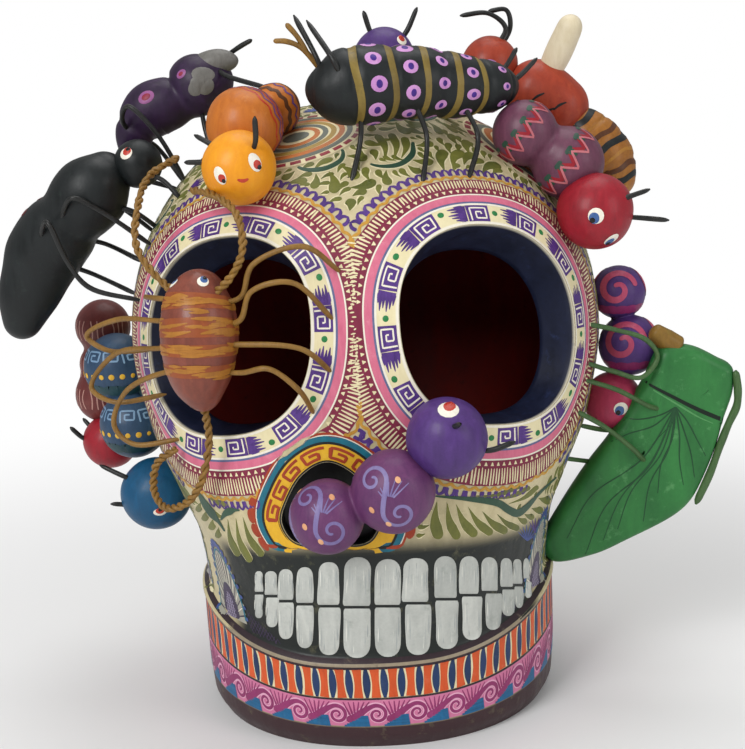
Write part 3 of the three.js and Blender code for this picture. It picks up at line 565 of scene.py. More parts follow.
hollow_rows = [(floor_thickness + share * (widest_height - floor_thickness), 0)
               for share in np.linspace(0, 1, 30)]
hollow_top = skull_height - wall
for climb in np.linspace(0, 0.999, 36)[1:] * math.pi / 2:
    hollow_rows.append((widest_height + (hollow_top - widest_height) * math.sin(climb), climb))
rings = []
hollow_azimuths = np.linspace(-180, 180, 160, endpoint=False)
for height, climb in hollow_rows:
    radius = outline_radius(hollow_azimuths, min(height / widest_height, 1), wall)
    radius = radius * math.cos(climb) ** dome_fullness
    turns = np.radians(hollow_azimuths)
    shift = crown_shift * math.sin(climb) ** 2
    rings.append(np.stack([radius * np.sin(turns), shift - radius * np.cos(turns), 0 * radius + height], -1))
points, faces = close_grid(rings)
keep = np.ones(len(faces), bool)
for name, side in (("right socket", 1), ("left socket", -1)):
    near = np.where((points[:, 1] < 0) & (points[:, 0] * side > 0) & (points[:, 2] > 100))[0]
    gap, _ = distance_outside(points[near], tunnels[name], facing(side * tunnel_turn, tunnel_tilt))
    within = np.zeros(len(points), bool)
    within[near[gap < 2]] = True
    keep &= ~within[faces].any(axis=1)
oxblood = enamel("oxblood hollow", "8a1c12", "4a0c08", under="2a0604", scale=60, wear=0.6, rough=0.7,
                 coat=0.0)
hollow = make_mesh("skull_hollow", points, faces[keep][:, ::-1], {"tone": np.full(len(points), 0.5)})
dress(hollow, oxblood, "skull_paint")

rings = rounded_edge(rims["nose"])
nose_floor = rims["nose"] + np.array([0, nose_depth, 0])
for share in (0.35, 0.7, 0.93):
    rings.append(rings[5] * (1 - share) + nose_floor * share)
middle = nose_floor.mean(axis=0)
rings += [nose_floor + (middle - nose_floor) * share for share in (0.04, 0.15, 0.4, 0.7, 0.95)]
points, faces = close_grid(rings)
soot = enamel("soot black", "20211f", "0c0c0c", under="34322c", scale=300, wear=0.3)
dress(make_mesh("nose_recess", points, faces, {"tone": np.full(len(points), 0.4)}), soot, "skull_paint")


# Brushwork: every motif is laid by hand with a small brush, so each stroke stands a hair proud of what
# lies under it, has soft rounded ends, and comes out a little lighter or darker than the next one.
chance = np.random.default_rng(7)


class Skin:
    """A surface of faces that can be looked at through the lens and papered with flat charts."""

    def __init__(self, points, faces):
        self.tree = BVHTree.FromPolygons(points.tolist(), faces.tolist())
        self.middle = points.mean(axis=0)

    def seen(self, x, y):
        """The point that the photograph shows at a pixel, or else the surface's nearest point to it."""
        sight = line_of_sight(x, y)
        hit = self.tree.ray_cast(Vector(camera_place), Vector(sight))[0]
        if hit is None:
            depth = (self.middle - camera_place) @ sight
            hit = self.tree.find_nearest(Vector(camera_place + sight * depth))[0]
        return np.array(hit)

    def chart(self, line, starts, ways):
        """A square chart of the first points met from starts along ways."""
        points = np.empty(starts.shape)
        for place in np.ndindex(starts.shape[:2]):
            start, way = Vector(starts[place]), Vector(ways[place])
            hit = self.tree.ray_cast(start, way)[0]
            points[place] = hit if hit is not None else self.tree.find_nearest(start + way * 30)[0]
        return Chart(line, line, points, ways)

    def axes(self, outward, turn):
        """Level and rising directions on the surface, turned anticlockwise as seen from outside."""
        across = unit(np.cross((0, 0, 1), outward)) if abs(outward[2]) < 0.97 else np.array([1.0, 0, 0])
        up = np.cross(outward, across)
        return across * math.cos(turn) + up * math.sin(turn), up * math.cos(turn) - across * math.sin(turn)

    def sheet(self, place, outward, size, turn=0.0, step=1.0, height=30.0):
        """A patch seen square on, along one direction."""
        across, up = self.axes(outward, turn)
        line = np.linspace(-size, size, 2 * int(size / step) + 1)
        flat = line[:, None, None] * across + line[None, :, None] * up
        starts = place + outward * height + flat
        patch = self.chart(line, starts, np.broadcast_to(-outward, starts.shape))
        patch.normals = -patch.normals
        return patch

    def cap(self, place, centre, radius, size, turn=0.0, step=0.7):
        """A patch wrapped like a cap on a round form about its centre."""
        outward = unit(place - centre)
        across, up = self.axes(outward, turn)
        line = np.linspace(-size, size, 2 * int(size / step) + 1)
        u, v = np.meshgrid(line, line, indexing="ij")
        far = np.maximum(np.hypot(u, v), 1e-6)
        angle = np.minimum(far / radius, 2.9)
        aside = (u / far)[..., None] * across + (v / far)[..., None] * up
        ways = np.cos(angle)[..., None] * outward + np.sin(angle)[..., None] * aside
        return self.chart(line, np.broadcast_to(centre, ways.shape), ways)


class Paint:
    """All the strokes of one colour, gathered into one raised piece."""

    def __init__(self, name, material):
        self.name, self.material = name, material
        self.points, self.faces, self.tones, self.count = [], [], [], 0

    def lay(self, grid, normals, tone):
        rows, columns = grid.shape[:2]
        k = columns // 2
        facing_out = np.cross(grid[1:, k] - grid[:-1, k], grid[1:, k] - grid[1:, k - 1])
        if (facing_out * normals[1:, k]).sum() < 0:
            grid = grid[::-1]
        self.points.append(grid.reshape(-1, 3))
        self.faces.append(grid_faces(rows, columns, first=self.count))
        self.tones.append(np.full(rows * columns, np.clip(tone, 0, 1)))
        self.count += rows * columns

    def stroke(self, chart, path, width, layer=1, tone=None, smooth=True, square=False, step=0.8, across=3):
        """A stroke along a flat path; its width is one number or several, spread over its length."""
        path = np.asarray(path, float)
        if smooth and len(path) > 2:
            path = curve_through(path, len(path) * 8)
        run = lengths_along(path)
        length = max(run[-1], 1e-3)
        widths = np.atleast_1d(np.asarray(width, float))
        at = np.linspace(0, length, max(3, int(length / step) + 1))
        if not square:
            ends = np.minimum(np.array([widths[0], widths[-1]]) / 2 + 0.05, length / 2)
            tips = np.array([0.1, 0.35, 0.7, 1])
            at = np.unique(np.concatenate([at, tips * ends[0], length - tips * ends[1]]).round(4))
        wide = np.interp(at / length, np.linspace(0, 1, len(widths)), widths)
        if not square:
            from_end = np.minimum(at / ends[0], (length - at) / ends[1])
            wide = wide * np.sqrt(np.clip(1 - (1 - np.clip(from_end, 0, 1)) ** 2, 0.02, 1))
        middle = np.stack([np.interp(at, run, path[:, n]) for n in (0, 1)], -1)
        heading = unit(np.gradient(middle, axis=0))
        aside = np.stack([-heading[:, 1], heading[:, 0]], -1)
        shares = np.linspace(-0.5, 0.5, across)
        flat = middle[:, None] + aside[:, None] * (wide[:, None] * shares)[..., None]
        surface, normals = chart.at(flat)
        proud = 0.035 + 0.05 * layer + 0.06 * (1 - (2 * shares) ** 2)
        tone = 0.5 + 0.22 * chance.standard_normal() if tone is None else tone
        self.lay(surface + normals * proud[None, :, None], normals, tone)

    def dot(self, chart, centre, size, layer=1, tone=None, turn=0.0):
        """A round or oval dab; size is its radius or its two half widths."""
        half = np.broadcast_to(np.asarray(size, float), 2)
        angle = np.linspace(0, 2 * math.pi, 17)
        ring = np.stack([np.cos(angle) * half[0], np.sin(angle) * half[1]], -1)
        swing = np.array([[math.cos(turn), math.sin(turn)], [-math.sin(turn), math.cos(turn)]])
        shares = np.array([0.01, 0.5, 0.85, 1.0])
        flat = np.asarray(centre, float) + (ring @ swing)[:, None] * shares[:, None]
        surface, normals = chart.at(flat)
        proud = 0.035 + 0.05 * layer + np.array([0.2, 0.17, 0.1, 0.0]) * min(1, half.min() / 1.5)
        tone = 0.5 + 0.2 * chance.standard_normal() if tone is None else tone
        self.lay(surface + normals * proud[None, :, None], normals, tone)

    def finish(self, slot):
        piece = make_mesh(self.name, np.vstack(self.points), np.vstack(self.faces),
                          {"tone": np.concatenate(self.tones)})
        return dress(piece, self.material, slot)


def paints(group, **colours):
    """The paints of one group, each named after the group and its own key."""
    return [Paint(f"{group}_{key}", colour) for key, colour in colours.items()]


def finish(slot, *gathered):
    """Makes a piece of each paint's gathered strokes."""
    for paint in gathered:
        paint.finish(slot)


def spiral(turns, size, start=0.0, hand=1, points=22, heart=0.12):
    """A flat spiral that opens from its heart to its rim."""
    share = np.linspace(0, 1, points)
    angle = start + hand * share * turns * 2 * math.pi
    radius = size * (heart + (1 - heart) * share)
    return np.stack([radius * np.cos(angle), radius * np.sin(angle)], -1)


def placed(path, at, turn=0.0, size=1.0, mirror=1):
    """A flat path made larger, mirrored, turned and moved."""
    path = np.asarray(path, float) * size * np.array([mirror, 1])
    c, s = math.cos(turn), math.sin(turn)
    return path @ np.array([[c, s], [-s, c]]) + np.asarray(at, float)


# The borders of the eyes, brushed ring after ring from the rim outwards: a cream band of violet flames
# and square spirals, a blue and a pink line, a crimson band with a hatched fringe, and gold scallops.
skull = Skin(skin.reshape(-1, 3), grid_faces(skull_columns, row_count, closed=True))
cream = enamel("cream", "ece2bc", "d8cb9c", under="b9ab84", wear=0.15)
line_white = enamel("line white", "f0ebdc", "dcd4c0", under="c9bfa4", scale=900, wear=0.1)
fret_violet = enamel("fret violet", "5d3a8c", "3a2160", under="8a6fb0", wear=0.3)
leaf_dot_green = enamel("dot green", "2f8a4c", "1f6636", under="86b88a", scale=800, wear=0.1)
slate_blue = enamel("slate blue", "6b7298", "4e5478", under="a4a8be", wear=0.3)
rose = enamel("rose", "dd7c94", "c25a78", under="eec0c0")
crimson = enamel("crimson", "8e2c48", "6a1a34", under="b86a78", wear=0.2)
gold = enamel("gold line", "cc9a3c", "ab7a26", under="e8d29a", scale=800, wear=0.2)
creams, whites, violets, greens = paints("border", creams=cream, whites=line_white, violets=fret_violet,
                                         greens=leaf_dot_green)
slates, roses, crimsons, golds = paints("border", slates=slate_blue, roses=rose, crimsons=crimson, golds=gold)


def spread(rim, width, step=1.0):
    """A chart that runs round a rim and out from it over the skull; it overlaps itself by a quarter."""
    rows, here = [rim], rim
    away = edge_away(rim, normals_at(rim))
    for _ in range(int(width / step)):
        normals = normals_at(here)
        away = unit(away - normals * (away * normals).sum(-1, keepdims=True))
        there = settle(here + away * step, normals, 3, 14)
        away = unit(there - here)
        smoother = unit(away + 0.5 * (np.roll(away, 1, axis=0) + np.roll(away, -1, axis=0)))
        rows.append(there)
        here, away = there, smoother
    grid = np.stack(rows, axis=1)
    count = len(rim)
    around = np.arange(-count // 4, count + count // 4)
    length = np.linalg.norm(rim - np.roll(rim, 1, axis=0), axis=1).sum()
    points = grid[around % count]
    chart = Chart(around * length / count, np.arange(len(rows)) * step, points, normals_at(points))
    chart.length = length
    return chart


charts = {name: spread(rim, 40) for name, rim in rims.items()}
rim_middles = {name: rim.mean(axis=0) for name, rim in rims.items()}


def room_round(name, kept_off, lowest):
    """How far a border may reach from each place of its rim before it meets another opening or the mouth."""
    chart = charts[name]
    room = np.full(chart.points.shape[0], chart.up[-1])
    for k, far in enumerate(chart.up):
        points = chart.points[:, k]
        clash = (points[:, 2] < lowest + 10 * (np.abs(points[:, 0]) > 60)) & (points[:, 1] < 0)
        for other, distance in kept_off.items():
            gap = np.linalg.norm(points[:, None] - rims[other][None, ::4], axis=-1).min(axis=1)
            clash |= gap < (far if distance is None else distance)
        room = np.where(clash & (room > far), far, room)
    return lambda along: np.interp(along % chart.length, chart.across, room)


def ring(paint, chart, low, high, layer, room, tone=None):
    """A band round a rim that narrows where there is no room for it; its outer edge may be a function."""
    along = np.linspace(0, chart.length * 1.001, 260)
    far = room(along)
    high = high(along) if callable(high) else high + 0 * along
    inner, outer = np.minimum(low, far - 0.05), np.minimum(high, far)
    path = np.stack([along, (inner + outer) / 2], -1)
    across = 3 + 2 * int((high.max() - low) / 2)
    paint.stroke(chart, path, outer - inner, layer, tone, smooth=False, square=True, step=1.0, across=across)


def stretches(chosen):
    """First and last places of each run of chosen ones."""
    edges = np.flatnonzero(np.diff(np.concatenate([[0], chosen.astype(int), [0]])))
    return edges.reshape(-1, 2)


def border_end(height):
    """How far the crimson fringe of an eye reaches: less over the brow, where the head turns away."""
    return 24.0 - 3.5 * ramp(176, 204, height) - 1.2 * (1 - ramp(128, 150, height))


units = 12
violet_arch = ((0, 0), (0.1, 2.2), (0.9, 3.4), (1.7, 2.2), (1.8, 0))
for name, other in (("right socket", "left socket"), ("left socket", "right socket")):
    chart = charts[name]
    room = room_round(name, {other: None, "nose": 11.4}, 94)
    heights = chart.points[:, 20, 2]

    def fringe(along):
        return border_end(np.interp(along % chart.length, chart.across, heights))
    ring(creams, chart, 0.3, 9.0, 0, room)
    ring(whites, chart, 0.2, 1.1, 2, room, 0.8)
    ring(whites, chart, 8.1, 8.9, 2, room, 0.8)
    ring(slates, chart, 8.8, 9.8, 1, room)
    ring(roses, chart, 9.7, 12.7, 2, room)
    ring(whites, chart, 12.6, 13.2, 3, room, 0.7)
    ring(crimsons, chart, 13.1, fringe, 1, room)
    pitch = chart.length / units
    for n in range(units):
        def at(s, v):
            return chart.length - (n + 0.1) * pitch - s * pitch / 20, v
        greens.dot(chart, at(1.0, 4.9 + n % 3 * 0.6), 1.1, 2)
        for v, tip in ((2.0, 5.2), (3.2, 4.0), (4.4, 3.2), (5.6, 4.4), (6.8, 3.6), (7.4, 6.0)):
            violets.stroke(chart, [at(tip, v + 0.3), at(tip + 2.4, v + 0.1), at(9.2, v)], [0.3, 1.1, 1.7], 2)
        violets.stroke(chart, [at(8.4, 1.5), at(8.8, 7.9)], 2.4, 2, square=True)
        for v in (2.1, 3.5, 4.9, 6.3, 7.2):
            violets.stroke(chart, [at(10.1, v), at(18.6, v)], 1.6, 2, square=True, smooth=False)
        key = [(11.4, 1.6), (11.4, 6.9), (17.4, 6.9), (17.4, 2.6), (13.4, 2.6), (13.4, 5.2), (15.5, 5.2),
               (15.5, 4.2)]
        whites.stroke(chart, [at(*place) for place in key], 0.62, 3, 0.5, smooth=False, square=True, step=0.6)
    for along in np.arange(0, chart.length, 2.2):
        if room(along) > 16:
            creams.stroke(chart, [(along, 15.2), (along, 13.9)], [1.15, 0.3], 3, smooth=False, square=True)
    for along in np.arange(0, chart.length, 1.0):
        far = min(room(along), fringe(along) - chance.uniform(0.2, 0.9))
        if far > 16.8:
            hair = [(along, 16.1 + chance.uniform(-0.3, 0.3)), (along + chance.uniform(-0.25, 0.25), far)]
            creams.stroke(chart, hair, [0.3, 0.5, 0.45], 3, smooth=False)
    along = np.arange(0, chart.length, 0.3)
    ends, rooms = fringe(along), room(along)
    far = np.minimum(ends + 0.4, rooms - 1.4)
    path = np.stack([along, far + 1.3 * np.abs(np.sin(math.pi * along / 3.1))], -1)
    for first, last in stretches(rooms > 21.5):
        if last - first > 8:
            golds.stroke(chart, path[first:last], 1.0, 3, smooth=False, step=0.4)
    for start in np.arange(0, chart.length, 2.35):
        base = fringe(start) + 2.1
        if room(start) > base + 2.2:
            arch = [(start + aside, base + up) for aside, up in violet_arch]
            violets.stroke(chart, arch, 0.85, 2, step=0.6)
bridge_pixel = (352, 320)
bridge = skull.sheet(skull.seen(*bridge_pixel), unit(skull_normal(0, 0.98)), 44)
for n, height in enumerate(np.arange(-38, 38, 1.5)):
    start = bridge.at(np.array([0, height]))[0]
    gap = min(np.linalg.norm(rims[key] - start, axis=1).min() for key in ("right socket", "left socket"))
    if 14.2 < gap < 22 and start[2] > 146:
        half = min(gap - 13.6, 4.5) * chance.uniform(0.3, 0.75)
        middle = chance.uniform(-0.8, 0.8) + (n % 3 - 1) * (gap - 14) * 0.4
        hair = [(middle - half, height), (middle + half, height + chance.uniform(-0.6, 0.8))]
        creams.stroke(bridge, hair, [0.3, 0.6, 0.4], 4, smooth=False)
finish("skull_paint", creams, whites, violets, greens, slates, roses, crimsons, golds)


# The nose's border: a yellow ring with a red key fret between two dark lines, a teal line outside it
# and red scallops below.
yolk = enamel("yolk yellow", "ecbc2e", "d49c1c", under="f0d068", wear=0.2)
key_red = enamel("key red", "b04422", "8a2c16", under="c8703c", scale=800, wear=0.15)
sea_teal = enamel("sea teal", "1f7d92", "125a6e", under="6ab0ba", wear=0.2)
yolks, reds, teals, soots, glows = paints("nose", yolks=yolk, reds=key_red, teals=sea_teal, lines=soot,
                                          whites=line_white)
chart = charts["nose"]
room = room_round("nose", {"right socket": 13.3, "left socket": 13.3}, 86)
ring(yolks, chart, 0.3, 7.2, 0, room)
ring(soots, chart, 0.2, 0.8, 3, room)
ring(soots, chart, 6.8, 7.7, 3, room)
ring(teals, chart, 7.6, 10.0, 1, room)
ring(glows, chart, 9.9, 10.4, 2, room)
ring(reds, chart, 10.3, 11.2, 3, room)
keys = 14
pitch = chart.length / keys
for n in range(keys):
    start = n * pitch
    if room(start) < 7.4 or room(start + pitch) < 7.4:
        continue
    key = [(0.03, 5.5), (0.84, 5.5), (0.84, 1.8), (0.24, 1.8), (0.24, 3.8), (0.6, 3.8)]
    path = [(start + share * pitch, v) for share, v in key]
    reds.stroke(chart, path, 1.05, 4, smooth=False, square=True, step=0.6)
for along in np.arange(0, chart.length, 3.0):
    place = chart.at(np.array([along, 12.0]))[0]
    if room(along) > 12.5 and place[2] < 106:
        reds.dot(chart, (along, 12.1), (1.5, 1.7), 1)
finish("skull_paint", yolks, reds, teals, soots, glows)


# Four oval medallions on the dome, each of nested rings in grey, orange, ochre and cream with a
# dashed red edge: one over the brow, one high on the right side and two behind.
ring_orange = enamel("ring orange", "c9793a", "a35a24", under="e0b080")
ring_grey = enamel("ring grey", "6f7468", "50564c", under="a8aa98")
ring_ochre = enamel("ring ochre", "b89a4c", "96772f", under="dccb90")
ring_red = enamel("ring red", "9c3640", "77242f", under="c98a8c")
grounds, oranges, greys, ochres, reds = paints(
    "medallion", grounds=cream, oranges=ring_orange, greys=ring_grey, ochres=ring_ochre, reds=ring_red)
taken = np.zeros((1, 3))


def clear(points):
    """Whether points keep clear of the borders, the mouth, the lip and the openings."""
    azimuth = np.degrees(np.arctan2(points[:, 0], 5 - points[:, 1]))
    free = (points[:, 2] > lip_height(azimuth) + 3) & ((points[:, 2] > 87) | (np.abs(azimuth) > 60))
    for key, rim in rims.items():
        near = np.linalg.norm(points[:, None] - rim[None, ::3], axis=-1).min(axis=1)
        from_middle = np.linalg.norm(points - rim_middles[key], axis=1)
        kept = 14.0 if key == "nose" else border_end(points[:, 2]) + 6.2
        free &= (near > kept) & (from_middle > (26 if key == "nose" else 44))
    return free


def is_free(points, gap):
    return clear(points).all() and np.linalg.norm(points[:, None] - taken[None], axis=-1).min() > gap


def take(points):
    global taken
    taken = np.vstack([taken, points])


def skull_sheet(azimuth, level, size, turn=0.0):
    return skull.sheet(skull_point(azimuth, level), skull_normal(azimuth, level), size, turn, 1.3)


def clipped(paint, chart, path, width, layer, tone=None):
    """The parts of a stroke that lie clear of the borders of the eyes."""
    path = np.asarray(path, float)
    across = 5 if width > 3 else 3
    for first, last in stretches(clear(chart.at(path)[0])):
        if last - first > 2:
            paint.stroke(chart, path[first:last], width, layer, tone, smooth=False, square=True,
                         across=across)


def oval(wide, size, first=0.0, last=2 * math.pi, points=73):
    angle = np.linspace(first, last, points)
    return np.stack([wide * np.cos(angle), wide * 0.7 * np.sin(angle)], -1) * size


# azimuth, level, turn and size of each medallion
medallions = ((-26, 1.68, 0.5, 1.05), (82, 1.5, -0.9, 1.4), (-140, 1.35, 0.4, 1.2), (140, 1.35, -0.4, 1.2))
for azimuth, level, turn, size in medallions:
    chart = skull_sheet(azimuth, level, 27 * size, turn)
    for wide in np.arange(2, 25, 4):
        clipped(grounds, chart, oval(wide, size), 4.6 * size, 4, 0.7)
    greys.dot(chart, (0, 0), (5 * size, 3.2 * size), 7)
    for wide, paint in ((8, oranges), (11, greys), (14, ochres), (17, oranges), (19.8, greys)):
        clipped(paint, chart, oval(wide, size), 2.0 * size, 6)
    for k in range(26):
        middle = k * 2 * math.pi / 26
        clipped(reds, chart, oval(23, size, middle - 0.085, middle + 0.085, 7), 1.7 * size, 7)
    for wide in np.arange(3, 25, 3.5):
        take(chart.at(oval(wide, size, points=37))[0])
finish("skull_paint", grounds, oranges, greys, ochres, reds)


# Leaves and scrolls cover the brow, cheeks, crown, sides and back: dark green stems that curl at their
# ends, with rows of olive leaves outlined in cream, and blue and violet tufts between them.
olive = enamel("leaf olive", "80803a", "4e5624", under="a8a468", scale=380, wear=0.3)
stem_green = enamel("stem green", "3c5a48", "24402f", under="7d9478")
tuft_blue = enamel("tuft blue", "4a5c9c", "303e78", under="8c98c0", scale=600)
leaves, outlines, stems = Paint("leaves", olive), Paint("leaf_outlines", cream), Paint("stems", stem_green)
tufts, tuft_violets = Paint("tufts_blue", tuft_blue), Paint("tufts_violet", fret_violet)


def toward(turn):
    return np.array([math.cos(turn), math.sin(turn)])


def leaf(chart, root, tip, width, bend=0.0, always=False):
    """An olive leaf, pointed at its root and round at its tip, cut short where there is no room for it."""
    root, tip = np.asarray(root, float), np.asarray(tip, float)
    for share in (1, 0.8, 0.62):
        end = root + (tip - root) * share
        path = np.array([root, (root + end) / 2 + np.array([-(end - root)[1], (end - root)[0]]) * bend, end])
        points = chart.at(curve_through(path, 8))[0]
        if always or is_free(points[3:], width * (0.3 + 0.2 * share) + 0.5):
            break
    else:
        return points[:0]
    wide = width * (0.55 + 0.45 * share)
    outlines.stroke(chart, path, [0.7, wide * 0.5 + 0.9, wide + 1.1, wide * 0.85 + 1.1], 0, 0.85, step=1.2)
    leaves.stroke(chart, path, [0.3, wide * 0.5, wide, wide * 0.9], 2, step=1.0, across=5)
    return points[2:]


palm_stem = np.array([(-10, 11), (-9.6, 4), (-5, -1.6), (2.5, -2.4), (8.4, 1.6), (8.6, 7), (4.8, 8)])
palm_leaves = [((-5.8, 1.8), (-7.0, 14)), ((-3.0, 0.4), (-2.2, 16)), ((0, 0.2), (2.8, 15)),
               ((3.2, 0.8), (4.6, 6.4)), ((-9.6, 1), (-17, 1)), ((-8, -2), (-15.5, -7)),
               ((-4.6, -4), (-9.5, -13)), ((-0.4, -4.6), (-2, -16)), ((4.2, -4), (6, -14.5)),
               ((8.2, -1.4), (14, -8.5)), ((10.4, 3.4), (17.5, 1)), ((10.2, 8.6), (15, 14)),
               ((-11, 9), (-17, 12))]


def palm(chart, at, turn=0.0, side=1, size=1.0, width=4.4):
    """A dark green stem curled like a U, with leaves that fan out inside it and hang all round it."""
    spine = curve_through(placed(palm_stem, at, turn, size, side), 70)
    points = chart.at(spine)[0]
    gap = np.linalg.norm(points[:, None] - taken[None], axis=-1).min(axis=1)
    good = stretches(clear(points) & (gap > 2.0))
    if not len(good):
        return
    first, last = good[np.argmax(good[:, 1] - good[:, 0])]
    if last - first < 34:
        return
    outlines.stroke(chart, spine[first:last:3], [2.4, 3.5, 3.3, 2.0], 1, 0.85)
    stems.stroke(chart, spine[first:last:3], [1.2, 2.5, 2.3, 1.0], 4)
    mine = [points[first:last:3]]
    for n, (root, tip) in enumerate(palm_leaves):
        root, tip = placed([root, tip], at, turn, size, side)
        mine.append(leaf(chart, root, tip, width * (0.66 if n < 4 else 0.88), 0.1 * side))
    take(np.vstack(mine))


def tuft(chart, root, heading, size, paint, count=7, fan=1.5, always=False):
    """A fan of short strokes from one root."""
    root = np.asarray(root, float)
    shares = np.linspace(-0.5, 0.5, count)
    tips = np.array([root + size * (1 - 0.5 * abs(share)) * toward(heading + fan * share)
                     for share in shares])
    points = chart.at(np.vstack([tips, (tips + root) / 2]))[0]
    if always or is_free(points, 2.0):
        take(points)
        for tip in tips:
            paint.stroke(chart, [root, tip], [0.3, 1.3, 0.5], 2)


def through_lens(left, right, top, bottom, step=3.0):
    """A chart of what the photograph shows between four pixel lines; its unit is the pixel."""
    across, down = np.arange(left, right, step), np.arange(top, bottom, step)
    seen = np.array([[skull.seen(x, y) for y in down] for x in across])
    return Chart(across, down, seen, normals_at(seen))


right_cheek_pixels, left_cheek_pixels = (420, 566, 466, 560), (186, 282, 476, 574)
right_cheek, left_cheek = through_lens(*right_cheek_pixels), through_lens(*left_cheek_pixels)
right_stem_pixels = [(435, 496), (470, 499), (498, 503), (509, 510), (517, 513), (525, 508), (540, 492),
                     (556, 477)]
right_leaf_pixels = [((437, 501), (439, 539), 12), ((447, 502), (458, 539), 10), ((456, 504), (476, 536), 10),
                     ((468, 507), (492, 534), 9), ((482, 511), (507, 532), 9), ((497, 514), (519, 529), 7),
                     ((517, 517), (527, 522), 7), ((524, 514), (534, 517), 7), ((531, 508), (543, 510), 8),
                     ((538, 498), (551, 500), 9), ((470, 496), (520, 486), 5), ((490, 499), (530, 487), 5),
                     ((508, 504), (538, 486), 5)]
left_stem_pixels = [(196, 486), (203, 500), (212, 513), (220, 523), (225, 531)]
left_branch_pixels = [(221, 520), (226, 513), (234, 510), (240, 510)]
left_leaf_pixels = [((228, 519), (239, 556), 7), ((236, 518), (251, 562), 7), ((243, 517), (263, 556), 7.5),
                    ((201, 502), (199, 512), 7), ((206, 511), (206, 521), 8), ((213, 519), (213, 530), 8),
                    ((219, 527), (219, 538), 7), ((206, 494), (228, 505), 6)]
right_tuft_pixels = ((527, 541, -1.5, tufts), (535, 533, -1.2, tuft_violets), (548, 521, -1.5, tufts),
                     (553, 508, -1.3, tufts))
for chart, stem_pixels, leaf_pixels in (
        (right_cheek, right_stem_pixels, right_leaf_pixels), (left_cheek, left_stem_pixels, left_leaf_pixels),
        (left_cheek, left_branch_pixels, [])):
    mine = [chart.at(np.array(stem_pixels, float))[0]]
    stems.stroke(chart, stem_pixels, [1.5, 4, 7, 8, 3, 1.5], 4, step=2.0)
    for root, tip, width in leaf_pixels:
        mine.append(leaf(chart, root, tip, width, 0.08, always=True))
        middle = np.linspace(root, tip, 7)
        aside = unit(np.array([root[1] - tip[1], tip[0] - root[0]])) * width / 2
        mine += [chart.at(middle + aside)[0], chart.at(middle - aside)[0]]
    take(np.vstack(mine))
for x, y, heading, paint in right_tuft_pixels:
    tuft(right_cheek, (x, y), heading, 17, paint, 8, 1.7, always=True)
brow = skull_sheet(0, 1.40, 66)
for side in (-1, 1):
    for across, up, turn, size in ((12.5, 25.5, 0, 1.05), (37, 26, -0.45, 1.0), (12, 54, 0.1, 0.95)):
        palm(brow, (across * side, up), turn * side, -side, size, 5.0)
    for root, tip in (((0.5, 8.5), (9, 12)), ((0.5, 12.5), (-9, 15.5)), ((0.6, 2.0), (0.6, 7.4))):
        mine = leaf(brow, np.array(root) * (side, 1), np.array(tip) * (side, 1), 4.4, 0.1 * side)
        take(mine)
for row, level in enumerate((0.56, 0.76, 0.97, 1.17, 1.37, 1.57, 1.76, 1.92)):
    climb = max(level - 1, 0) * math.pi / 2
    count = max(2, int(620 * math.cos(climb) ** dome_fullness / 30))
    for n in range(count):
        azimuth = 360 * (n + 0.5 * (row % 2)) / count - 180
        side = 1 if (n + row) % 2 else -1
        sheet = skull_sheet(azimuth, level, 30)
        palm(sheet, (0, 0), 0.35 * side, side)
        tuft(sheet, (14 * side, 16), math.pi / 2 - 0.6 * side, 8, tufts if (n + row) % 3 else tuft_violets)
for width, size, pace in ((4.6, 13.0, 6.0), (3.4, 9.0, 4.6), (2.2, 5.4, 3.4)):
    for level in np.concatenate([np.arange(0.3, 1, pace / widest_height), np.arange(1, 1.97, pace / 130)]):
        climb = max(level - 1, 0) * math.pi / 2
        girth = 2 * math.pi * float(outline_radius(90, min(level, 1), 0)) * math.cos(climb) ** dome_fullness
        turns = np.arange(-180, 180, 360 * pace / max(girth, 3 * pace)) + 137 * level % 3
        places, outwards = skull_point(turns, level), skull_normal(turns, np.full(len(turns), level))
        for azimuth, here, outward in zip(turns, places, outwards):
            if not is_free(here[None], width / 2 + 0.8):
                continue
            lean = math.pi / 2 + 0.9 * math.sin(math.radians(azimuth * 6)) + 0.8 * math.cos(level * 11)
            small = skull.sheet(here, outward, size * 0.75, 0, 1.6)
            take(leaf(small, -0.5 * size * toward(lean), 0.5 * size * toward(lean), width, 0.12))
finish("skull_paint", leaves, outlines, stems, tufts, tuft_violets)


# The teeth: fourteen above and fourteen below one wavy line, each laid with a broad grey-white brush,
# square at the bite and rounded at its root, over the black of the mouth.
tooth_white = enamel("tooth white", "cfd1ca", "9fa39e", under="868c85", scale=260, wear=0.5, bump=0.09)
upper_x_pixels = (259, 271, 286, 305, 329, 358, 388, 416, 445, 469, 489, 506, 517, 526)
lower_x_pixels = (259, 272, 286, 305, 329, 357, 388, 418, 447, 472, 493, 508, 519, 528)
upper_root_pixels = (571, 571, 569, 567, 562, 557, 559, 558, 556, 556, 557, 558, 559, 558)
lower_root_pixels = (618, 627, 639, 648, 655, 658, 657, 655, 649, 640, 630, 616, 608, 598)
upper_bite_pixels = (593, 596, 601, 604, 606, 607, 606, 603, 599, 595, 592, 588, 585, 580)
tooth_width_pixels = (8.5, 13, 16.5, 18.5, 23, 29, 28, 27.5, 24, 21, 17.5, 13.5, 9.5, 6.5)
bite_gap_pixels = 1.4
mouth_pixels = (246, 540, 545, 670)
teeth = Paint("teeth", tooth_white)
photo_mouth = through_lens(*mouth_pixels)


